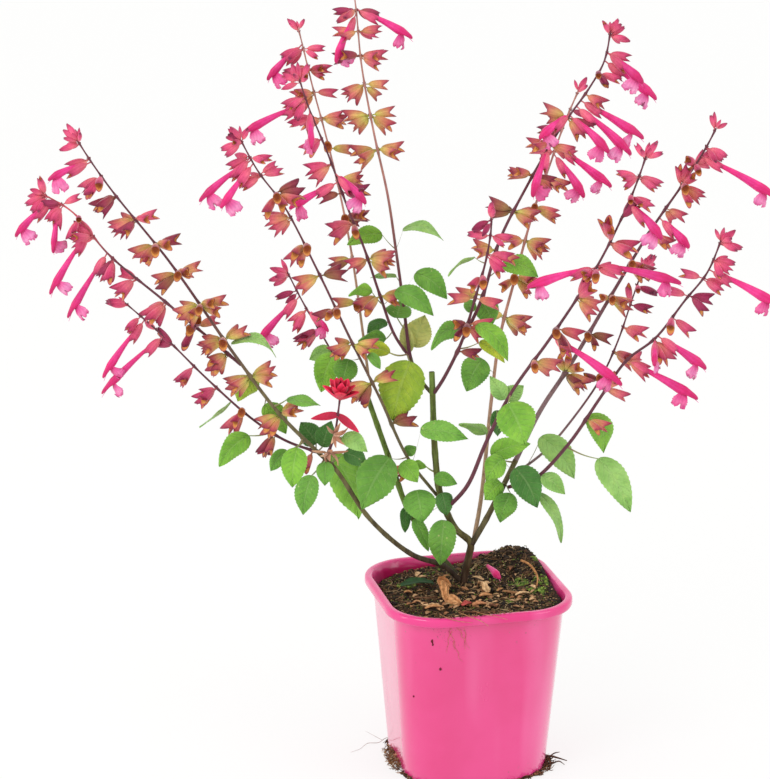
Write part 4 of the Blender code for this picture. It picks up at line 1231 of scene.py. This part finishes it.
def lip_reach(angles):
    """How far the calyx's edge reaches at each angle: a broad upper lip, and a lower one of two teeth."""
    from_top = np.abs((angles + math.pi) % (2 * math.pi) - math.pi)
    from_bottom = math.pi - from_top
    upper = 1.12 * (1 - np.clip(from_top / 1.60, 0, 1) ** 1.7)
    lower = 0.96 * (1 - np.clip(from_bottom / 1.55, 0, 1) ** 1.9)
    return np.maximum(np.maximum(upper, lower), 0.16)


def calyx(shape, root, direction, length, opening, tints, rng):
    """A ribbed two-lipped cup on a short stalk. opening is 0 for a closed bud and 1 for a wide mouth."""
    angles = np.arange(CALYX_SIDES) * 2 * math.pi / CALYX_SIDES
    raised = square_to(UP + 0.35 * np.array([rng.uniform(-1, 1), rng.uniform(-1, 1), 0.0]), direction)
    across = np.cross(direction, raised)
    size = length / CALYX_LENGTH
    radii = between(np.array(BUD_RADII), np.array(OPEN_RADII), opening) * size
    lobes = between(np.ones(CALYX_SIDES), lip_reach(angles), min(1.0, opening * 1.6))
    ribs = 1 + 0.045 * np.cos(9 * angles)
    droop = rng.uniform(0.5, 2.2) * size
    tint_row = ramp(CALYX_PLACES, tints, CALYX_STATIONS) * rng.uniform(0.88, 1.1)

    def ring(station, radius, rib=True):
        beyond = max(station - THROAT, 0.0)
        reach = length * (min(station, THROAT) + beyond * lobes)
        throat = np.interp(THROAT, CALYX_STATIONS, radii)
        spread = np.where(beyond > 0, throat + (radius - throat) * lobes, radius)
        if rib and 0.2 < station:
            spread = spread * between(ribs, 1.0, step_up(station, 0.6, 0.95))
        sag = droop * (station * station)
        middle = root - sag * raised
        return (middle + np.outer(reach, direction) + np.outer(np.cos(angles) * spread * 1.12, raised)
                + np.outer(np.sin(angles) * spread * 0.84, across))

    rings = [ring(station, radius) for station, radius in zip(CALYX_STATIONS, radii)]
    stripes = 1 - CALYX_STRIPE * (np.cos(9 * angles) < 0)
    sunny = np.clip(np.cos(angles + rng.uniform(-0.8, 0.8)), 0, 1)[:, None] * rng.uniform(0.3, 1.0)
    rows = [np.outer(stripes, tint) * between(CALYX_SHADE, CALYX_FLUSH, sunny) for tint in tint_row]
    if opening > 0.35:
        for station, inset in INNER_STATIONS:
            radius = np.interp(station, CALYX_STATIONS, radii) - inset * size
            rings.append(ring(station, radius, False))
            rim = between(CALYX_INSIDE, tint_row[-3], step_up(station, 0.85, 1.0))
            # Towards the cup's floor the tint darkens: painted shade deep in the cup.
            tint = between(CALYX_DEPTH_SHADE, rim, step_up(station, 0.66, 0.80))
            rows.append(np.tile(tint, (CALYX_SIDES, 1)))
    shape.loft(rings, np.array(rows))


def bract(shape, root, direction, length, tint):
    """A small pointed scale."""
    raised = square_to(UP + 0.01, direction)
    across = np.cross(direction, raised)
    angles = np.arange(8) * math.pi / 4
    rings = []
    for share, width in ((0.0, 0.35), (0.25, 0.9), (0.55, 0.85), (0.8, 0.45), (1.0, 0.06)):
        middle = root + direction * length * share + raised * length * 0.12 * share * share
        rings.append(middle + np.outer(np.cos(angles) * width * 0.4, raised)
                     + np.outer(np.sin(angles) * width, across))
    shape.loft(rings, tuple(tint))


TUBE_STATIONS = (0.16, 0.26, 0.36, 0.46, 0.56, 0.66, 0.74, 0.80, 0.86, 0.91, 0.955, 0.985, 1.0)
TUBE_HEIGHTS = (1.5, 1.7, 2.0, 2.4, 2.9, 3.4, 3.8, 3.9, 3.3, 2.8, 2.3, 1.6, 0.7)
TUBE_WIDTHS = (1.3, 1.5, 1.7, 2.0, 2.4, 2.7, 2.9, 2.8, 2.3, 2.0, 1.7, 1.2, 0.5)
SLIM_FLOWER = 0.78            # how stout the flowers at the left are, and those at the right
FULL_FLOWER = 1.0
LIP_DROP = 10.5
LIP_WIDTHS = ((0.0, 3.0), (0.15, 4.2), (0.3, 5.3), (0.45, 6.2), (0.6, 6.8), (0.8, 7.0), (0.93, 6.0),
              (0.98, 5.0), (1.0, 4.0))


def corolla(shape, root, vector, girth, rng, lip=True):
    """An open flower: a tube that swells to its throat, a hooded upper lip and a hanging lower one."""
    length = np.linalg.norm(vector)
    along = vector / length
    raised = square_to(UP, along)
    across = np.cross(along, raised)
    sides = 16
    angles = np.arange(sides) * 2 * math.pi / sides
    size = min(1.0, length / 32)
    bow = rng.uniform(0.6, 1.8) * size
    below = np.clip(-np.cos(angles), 0, 1)
    rings = []
    for station, high, wide in zip(TUBE_STATIONS, TUBE_HEIGHTS, TUBE_WIDTHS):
        hollow = 1 - 0.62 * below * step_up(station, 0.77, 0.86)
        middle = root + vector * station + raised * bow * math.sin(math.pi * station)
        rings.append(middle + np.outer(np.cos(angles) * high * size * girth * hollow, raised)
                     + np.outer(np.sin(angles) * wide * size * girth, across))
    tints = ramp(PETAL_PLACES, PETAL_TINTS, TUBE_STATIONS) * rng.uniform(0.85, 1.05)
    streaks = np.where(np.arange(sides)[:, None] % 2, 1.0, PETAL_STREAK)
    shape.loft(rings, tints[:, None, :] * streaks[None, :, :])
    if lip:
        lower_lip(shape, root, vector, along, raised, across, size, bow, rng)
    style = [root + vector * share + raised * (bow * math.sin(math.pi * share) - drop)
             for share, drop in ((0.9, 0.6), (0.95, 0.9), (0.99, 1.2), (1.03, 1.7))]
    shape.tube(style, (0.25, 0.24, 0.22, 0.15), 5, tuple(srgb(236, 120, 176)))


def lower_lip(shape, root, vector, along, raised, across, size, bow, rng):
    """The pale lobe that hangs from the flower's throat: notched, ruffled, its sides swept back."""
    hinge = root + vector * 0.81 + raised * (bow * 0.56 - 1.3 * size)
    hang = square_to(-UP, along) if abs(along[2]) < 0.9 else -raised
    roll = math.radians(rng.uniform(40, 75)) * (1 if across[1] > 0 else -1)
    side = across * math.cos(roll) + along * math.sin(roll)
    ahead = along * math.cos(roll) - across * math.sin(roll)
    forward = rng.uniform(0.45, 0.8)
    drop = LIP_DROP * size
    rows = 14
    count = 11
    v = np.linspace(-1, 1, count)
    rings = []
    tints = []
    ruffle = rng.uniform(0, 6)
    fray = np.array([rng.uniform(0.0, 1.0) * (number % 2) for number in range(count)])
    paleness = rng.uniform(0.30, 1.0)
    veins = np.where(np.arange(count) % 2, 1.0, 0.84)[:, None] * np.ones(3)
    for share in np.linspace(0, 1, rows):
        half = np.interp(share, *zip(*LIP_WIDTHS)) * size
        half *= 1 + 0.13 * rng.uniform(-1, 1) * step_up(share, 0.3, 0.6)
        middle = hinge + drop * (ahead * forward * math.sin(1.3 * share) * 0.8 + hang * share)
        notch = 3.4 * size * step_up(share, 0.6, 1.0) * np.clip(1 - np.abs(v) / 0.35, 0, 1)
        notch = notch + 2.6 * size * fray * step_up(share, 0.7, 1.0)
        wave = 0.7 * size * np.sin(v * 7 + ruffle + 4 * share) * step_up(share, 0.3, 0.9)
        swept = 2.6 * size * v * v * step_up(share, 0.1, 0.7)
        top = (middle + np.outer(v * half * (1 - 0.12 * v * v), side) - np.outer(notch, hang)
               - np.outer(wave + swept, ahead))
        under = top[::-1] - ahead * 0.25
        rings.append(np.vstack([top, under]))
        tint = between(np.array(PETAL_TINTS[2]), ramp(PETAL_PLACES, LIP_TINTS, share), paleness)
        tints.append(np.vstack([veins, veins[::-1]]) * tint)
    shape.loft(rings, np.array(tints))


def calyx_direction(letter, tangent, rng):
    """Where a calyx points: half along its letter's own direction, half square to the stem."""
    jitter = random_vector(rng)
    if letter == "U":
        return unit(tangent + 0.5 * jitter)
    aim = unit(np.array(CALYX_AIMS[letter]))
    return unit(aim + square_to(aim, tangent) + 0.3 * jitter)


def whorls(branch, start, words):
    """Each calyx of a shoot: its whorl, fraction, root, direction and length, from the tip down."""
    below_tip = 0.0
    for number, word in enumerate(words.split()):
        below_tip += FIRST_WHORL + WHORL_GROWTH * number
        fraction = 1.0 - below_tip / branch.length
        rng = random.Random(f"{words} {number}")
        length = CALYX_LENGTH * min(1.0, 0.8 + 0.07 * number)
        for letter in word:
            direction = calyx_direction(letter, branch.direction(fraction), rng)
            size = length * rng.uniform(0.88, 1.08)
            if fraction > start + 0.02:
                yield number, fraction, branch.at(fraction), direction, size


# Each bud of a tip: how far below the tip it grows, its share of the tip's size, its lean, how open.
TIP_BUDS = ((8.0, 0.65, 0.15, 0.0), (8.0, 0.8, 0.8, 0.1), (8.5, 0.9, 0.9, 0.2), (9.0, 1.0, 1.2, 0.3),
            (9.5, 1.0, 1.3, 0.4), (10.0, 1.0, 1.5, 0.5))
SPIRAL_TURN = 2.4             # radians from one bud or bract of a tip to the next
BUD_BRACTS = 15
BRACT_FACE = np.array([0.0, -0.8, 0.6])
BRACT_DROOPS = (np.array([-0.98, -0.1, -0.13]), np.array([0.76, -0.15, -0.62]))   # left, right
STEM_TURN = (0.1, 0.6)        # where along a shoot its stem changes colour
ROSE_TURN = (0.55, 0.85)
STEM_OVERLAP = 5.0            # how far a shoot reaches down inside the woody stem that it crowns
TIP_STEM = 7.0                # where the stem ends, this far below the tip


def spiral_side(tangent, angle):
    """A direction square to a shoot's tip, at an angle round it."""
    first = square_to(np.array([1.0, -0.3, 0.2]), tangent)
    return first * math.cos(angle) + np.cross(tangent, first) * math.sin(angle)


def shoot_tip(shape, branch, size, count, tints, rng):
    """The cluster of young calyces at a shoot's tip."""
    tangent = branch.direction(1.0)
    start = rng.uniform(0, 2 * math.pi)
    for number, (below_tip, share, lean, opening) in enumerate(TIP_BUDS[:count]):
        side = spiral_side(tangent, start + SPIRAL_TURN * number)
        direction = unit(tangent + lean * side)
        root = branch.at(1.0 - below_tip / branch.length)
        calyx(shape, root, direction, size * share, opening, tints, rng)


def broad_bract(shape, root, direction, inward, length, width, cup, tint):
    """A broad pointed scale, hollow on its inward side."""
    inward = square_to(inward, direction)
    across = np.cross(direction, inward)
    v = np.linspace(-1, 1, 9)
    rings = []
    for share in np.linspace(0, 1, 11):
        half = 0.5 * width * math.sin(math.pi * between(0.06, 0.99, share) ** 0.75) ** 0.75
        middle = root + direction * length * share + inward * cup * (share * share - 0.6 * share) * length
        top = middle + np.outer(v * half, across) + np.outer(0.55 * half * v * v, inward)
        rings.append(np.vstack([top, top[::-1] - inward * 0.4]))
    keel = np.concatenate([0.78 + 0.22 * np.abs(v), 0.80 + 0.20 * np.abs(v)])
    shades = np.linspace(0.75, 1.05, len(rings))
    shape.loft(rings, shades[:, None, None] * keel[None, :, None] * np.array(tint))


def shrivelled_calyx(shape, root, direction, count, rng):
    """A dried calyx: narrow curled scraps that spread from one place."""
    for _ in range(count):
        spread = random_vector(rng)
        aim = unit(direction + 0.9 * spread)
        tint = DRY_CALYX[rng.choice((1, 2, 3, 4))] * rng.uniform(0.85, 1.15)
        start = root + direction * rng.uniform(0.5, 3.0)
        broad_bract(shape, start, aim, spread + 0.01, rng.uniform(7.0, 14.5), rng.uniform(2.2, 4.0),
                    rng.uniform(0.3, 0.9), tint)


def scarlet_bud(shape, branch, rng):
    """The fat bud at a shoot's tip: overlapping bracts, the inner ones closed and the outer ones open."""
    tangent = branch.direction(1.0)
    for number in range(BUD_BRACTS):
        side = spiral_side(tangent, SPIRAL_TURN * number + rng.uniform(-0.2, 0.2))
        open_by = number / (BUD_BRACTS - 1)
        direction = unit(tangent + between(0.10, 1.6, open_by) * side)
        root = branch.at(1.0) - tangent * between(7.0, 10.0, open_by) + side * 0.6
        tint = SCARLET_CALYX[rng.choice((1, 2, 3, 4))] * rng.uniform(1.0, 1.5)
        broad_bract(shape, root, direction, -side, between(12.0, 17.0, open_by), between(6.5, 10.0, open_by),
                    between(0.35, 0.15, open_by), tint)


def flowering_shoot(node, materials):
    branch_name, start, words = SHOOTS[node]
    branch = BRANCH[branch_name]
    low, high, young, tip_size, tip_buds = SHOOT_LOOKS[node]
    fresh, ripened, old = PALETTES.get(node, (YOUNG_CALYX, RIPE_CALYX, OLD_CALYX))
    rng = random.Random(node)
    name = node.replace("_shoot", "")
    cups = Shape()
    knots = set()
    for number, fraction, root, direction, length in whorls(branch, start, words):
        knots.add(fraction)
        if name == "left_bud":
            if number == 1:
                droop = BRACT_DROOPS[0 if direction[0] < 0 else 1]
                broad_bract(cups, root, droop, BRACT_FACE, 19.5, 6.2, 0.12, SCARLET_CALYX[3])
            elif number > 1:
                shrivelled_calyx(cups, root, direction, 6 if number == 2 else 3, rng)
            continue
        ripe = np.clip((number - young + 1.5 + rng.uniform(-1.5, 1.5)) / 2.5, 0, 2)
        tints = [between(a, b, min(ripe, 1.0)) for a, b in zip(fresh, ripened)]
        tints = [between(a, b, max(ripe - 1.0, 0.0)) for a, b in zip(tints, old)]
        if rng.random() < DARK_SHARE:
            tints = [tint * DARK_CALYX for tint in tints]
        opening = float(np.clip(0.12 + number * 0.28 + rng.uniform(-0.2, 0.2), 0.0, 1.0))
        calyx(cups, root, direction, length, opening, tints, rng)
        for _ in range(rng.choice(TWINS)):
            tangent = branch.direction(fraction)
            spread = rng.choice((-1, 1)) * rng.uniform(0.5, 1.0) * np.cross(direction, tangent)
            aim = unit(direction + spread + np.array([0.0, 0.0, rng.uniform(-0.7, 0.2)]))
            place = root + tangent * rng.uniform(-1.5, 1.5)
            calyx(cups, place, aim, length * rng.uniform(0.8, 1.0), opening, tints, rng)
    for fraction in sorted(knots):
        tangent = branch.direction(fraction)
        for side in (-1, 1):
            lean = unit(tangent + side * 1.2 * square_to(np.array([1.0, -0.4, 0.0]), tangent))
            bract(cups, branch.at(fraction), lean, rng.uniform(1.6, 2.6), srgb(120, 50, 62))
    shoot_tip(cups, branch, tip_size, tip_buds, fresh, rng)
    if name == "left_bud":
        scarlet_bud(cups, branch, rng)
    petals = Shape()
    for below_tip, vector in FLOWERS.get(node, ()):
        root = branch.at(1.0 - below_tip / branch.length)
        vector = np.array(vector, float)
        calyx(cups, root, unit(vector), CALYX_LENGTH * 1.05, 0.5, fresh, rng)
        girth = between(SLIM_FLOWER, FULL_FLOWER, step_up(root[0], -200.0, 40.0))
        corolla(petals, root, vector, girth, rng)
    end = 1.0 - TIP_STEM / branch.length
    begin = start - STEM_OVERLAP / branch.length if start else 0.0
    fractions, points, radii = stem_path(branch, begin, end, 2.6, sorted(knots), 0.5)
    radii = np.where(fractions < start, 0.9, 1.0) * radii
    share = (fractions - start) / (1.0 - start)
    turn = ROSE_TURN if high == "rose" else STEM_TURN
    tints = between(STEM_TINTS[low], STEM_TINTS[high], step_up(share, *turn)[:, None])
    stem = Shape()
    stem.tube(points, radii, 12, tints, 0.08)
    make_piece(name + "_stem", stem, materials["stem"], [node])
    make_piece(name + "_calyces", cups, materials["calyx"], [node])
    if petals.count:
        make_piece(name + "_flowers", petals, materials["petal"], [node])


# --- Leaves ----------------------------------------------------------------------------------------
def blade_width(u):
    """The outline of a sage leaf: rounded at its foot, widest below its middle, bluntly pointed."""
    return np.sin(math.pi * u ** 0.71) ** (0.62 + 0.28 * u)


def leaf(shape, branch, fraction, to_blade, vector, width, turn, arch, tone):
    """A stalk and a toothed, veined, slightly folded blade with real thickness."""
    rng = random.Random(f"{fraction} {vector}")
    root = branch.at(fraction)
    foot = root + np.array(to_blade, float)
    vector = np.array(vector, float)
    length = np.linalg.norm(vector)
    along = vector / length
    flat = unit(np.cross(along, (0.0, -1.0, 0.0)))
    front = np.cross(flat, along)
    turn = math.radians(turn)
    across = flat * math.cos(turn) + front * math.sin(turn)
    face = front * math.cos(turn) - flat * math.sin(turn)
    rise = square_to(np.array((0.0, -0.35, 1.0)), along)
    tint = LEAF_TONES[tone] * rng.uniform(0.9, 1.08)
    v = np.linspace(-1, 1, BLADE_ACROSS)
    v = np.sign(v) * np.abs(v) ** 0.85
    both = np.concatenate([v, v[::-1]])
    angles = np.concatenate([np.linspace(math.pi, 0, BLADE_ACROSS), np.linspace(0, -math.pi, BLADE_ACROSS)])
    rings = []
    tints = []
    places = []
    stalk_end = foot + vector * 0.01
    sag = 0.06 * np.linalg.norm(stalk_end - root)
    for share in np.linspace(0, 1, 8):
        middle = between(root, stalk_end, share) - UP * sag * math.sin(math.pi * share)
        thick = between(0.75, 0.5, share)
        rings.append(middle + np.outer(np.cos(angles) * thick, across)
                     + np.outer(np.sin(angles) * thick, face))
        tints.append(np.tile(between(STALK_TINT, between(STALK_TINT, tint, 0.6), share), (len(both), 1)))
        places.append(np.zeros((len(both), 2)))
    wave = rng.uniform(0, 2 * math.pi)
    curl = rng.uniform(0.02, 0.15)
    for u in np.linspace(0.0, 1.0, BLADE_STATIONS):
        outline = blade_width(min(max(u, 0.004), 0.997)) * width / 2
        tooth = (u * BLADE_TEETH) % 1.0
        teeth = 1 + TOOTH_DEPTH * (abs(math.sin(math.pi * tooth)) - 0.6) * step_up(u, 0.05, 0.2)
        bow = arch * length * math.sin(math.pi * u) - curl * length * u * u
        middle = foot + vector * u + rise * bow
        keel = 0.20 * outline * np.abs(v) - 0.16 * outline * v ** 4
        ripple = 0.055 * width * np.sin(u * 9 + wave + 1.5 * np.sign(v)) * v * v
        phase = u * VEIN_COUNT - np.abs(v) * VEIN_SLANT
        quilt = 0.020 * width * (1 - np.cos(2 * math.pi * phase))
        quilt = quilt * np.clip(1 - v * v, 0, 1) * np.abs(v) ** 0.4
        groove = -0.010 * width * np.exp(-(v / 0.12) ** 2)
        lift = keel + ripple + (quilt + groove) * step_up(u, 0.0, 0.1)
        reach = np.where(np.abs(v) > 0.9, teeth, 1.0) * outline * v
        forward = np.where(np.abs(v) > 0.9, 0.2 * (teeth - 1) * outline, 0.0)
        top = middle + np.outer(reach, across) + np.outer(forward, along) + np.outer(lift, face)
        rib = 0.45 * np.exp(-(v / 0.13) ** 2) * (1 - 0.7 * u)
        thin = BLADE_THICKNESS * min(1.0, 0.3 + outline / 2)
        bottom = top[::-1] - np.outer(thin + rib[::-1], face)
        rings.append(np.vstack([top, bottom]))
        shade = tint * between(0.94, 1.08, u)
        tints.append(np.tile(shade, (len(both), 1)))
        side = np.concatenate([np.zeros(BLADE_ACROSS), np.full(BLADE_ACROSS, 2.0)])
        places.append(np.stack([u + side, both], axis=-1))
    shape.loft(rings, np.array(tints), np.array(places))


def make_leaves(material):
    number = 0
    for branch_name, leaves in LEAVES.items():
        for values in leaves:
            number += 1
            shape = Shape()
            leaf(shape, BRANCH[branch_name], *values)
            make_piece(f"sage_leaf_{number:02d}", shape, material, [f"leaf_{number:02d}"])
    for branch_name, leaves in SMALL_LEAVES.items():
        shape = Shape()
        for values in leaves:
            leaf(shape, BRANCH[branch_name], *values)
        make_piece(f"{branch_name}_small_leaves", shape, material)


# --- The scene -------------------------------------------------------------------------------------
FLOOR_HALF = 12.0             # metres
FLOOR_GLOW = 0.76
WORLD_STRENGTH = 1.05
KEY_WATTS = 17.0
FILL_WATTS = 7.0
STRIP_WATTS = 2.0
CAMERA_LENS = 132.7
CAMERA_PLACE = (-0.061, -1.979, 0.854)
CAMERA_TILT = math.radians(74.0)


def make_floor():
    mesh = bpy.data.meshes.new("floor")
    half = FLOOR_HALF
    corners = [(-half, -half, 0), (half, -half, 0), (half, half, 0), (-half, half, 0)]
    mesh.from_pydata(corners, [], [(0, 1, 2, 3)])
    floor = bpy.data.objects.new("floor", mesh)
    bpy.context.scene.collection.objects.link(floor)
    s = Shader("floor", Roughness=0.9, Specular_IOR_Level=0.1, Emission_Strength=FLOOR_GLOW)
    s.surface.inputs["Base Color"].default_value = (0.20, 0.20, 0.20, 1.0)
    s.surface.inputs["Emission Color"].default_value = (1.0, 1.0, 0.99, 1.0)
    mesh.materials.append(s.material)


def area_light(name, place, target, size, watts, colour=(1.0, 1.0, 1.0)):
    light = bpy.data.lights.new(name, "AREA")
    light.shape = "RECTANGLE"
    light.size, light.size_y = size
    light.energy = watts
    light.color = colour
    obj = bpy.data.objects.new(name, light)
    obj.location = place
    obj.rotation_euler = (Vector(target) - Vector(place)).to_track_quat("-Z", "Y").to_euler()
    bpy.context.scene.collection.objects.link(obj)


def make_light():
    world = bpy.data.worlds.new("studio")
    world.use_nodes = True
    world.node_tree.nodes["Background"].inputs["Color"].default_value = (1.0, 1.0, 1.0, 1.0)
    world.node_tree.nodes["Background"].inputs["Strength"].default_value = WORLD_STRENGTH
    bpy.context.scene.world = world
    middle = (-0.05, 0.0, 0.25)
    area_light("key", (-1.5, -1.7, 1.9), middle, (1.1, 1.1), KEY_WATTS)
    area_light("fill", (1.9, -1.2, 1.1), middle, (1.2, 1.2), FILL_WATTS)
    area_light("strip", (-1.3, -0.35, 0.35), (0.0, 0.0, 0.1), (0.25, 0.8), STRIP_WATTS)


def make_camera():
    """A long lens, level with the flowers and tipped down at the pot."""
    camera = bpy.data.cameras.new("camera")
    camera.sensor_fit = "HORIZONTAL"
    camera.sensor_width = 36.0
    camera.lens = CAMERA_LENS
    obj = bpy.data.objects.new("camera", camera)
    obj.location = CAMERA_PLACE
    obj.rotation_euler = (CAMERA_TILT, 0.0, 0.0)
    bpy.context.scene.collection.objects.link(obj)
    bpy.context.scene.camera = obj
    bpy.context.scene.view_settings.view_transform = "Standard"


BRANCH = {name: Branch(*values) for name, values in BRANCHES.items()}
make_camera()
make_light()
make_floor()
make_pot()
make_soil()
litter = litter_material()
bark = bark_material()
leaves = leaf_material()
shoot_materials = {"stem": stem_material(), "calyx": calyx_material(), "petal": petal_material()}
make_crumbs(litter)
make_litter(litter, shoot_materials["petal"])
make_rim_dirt(litter)
make_foot_fringe(litter)
for woody in WOODY:
    woody_stem(woody, bark)
for shoot in SHOOTS:
    flowering_shoot(shoot, shoot_materials)
make_leaves(leaves)
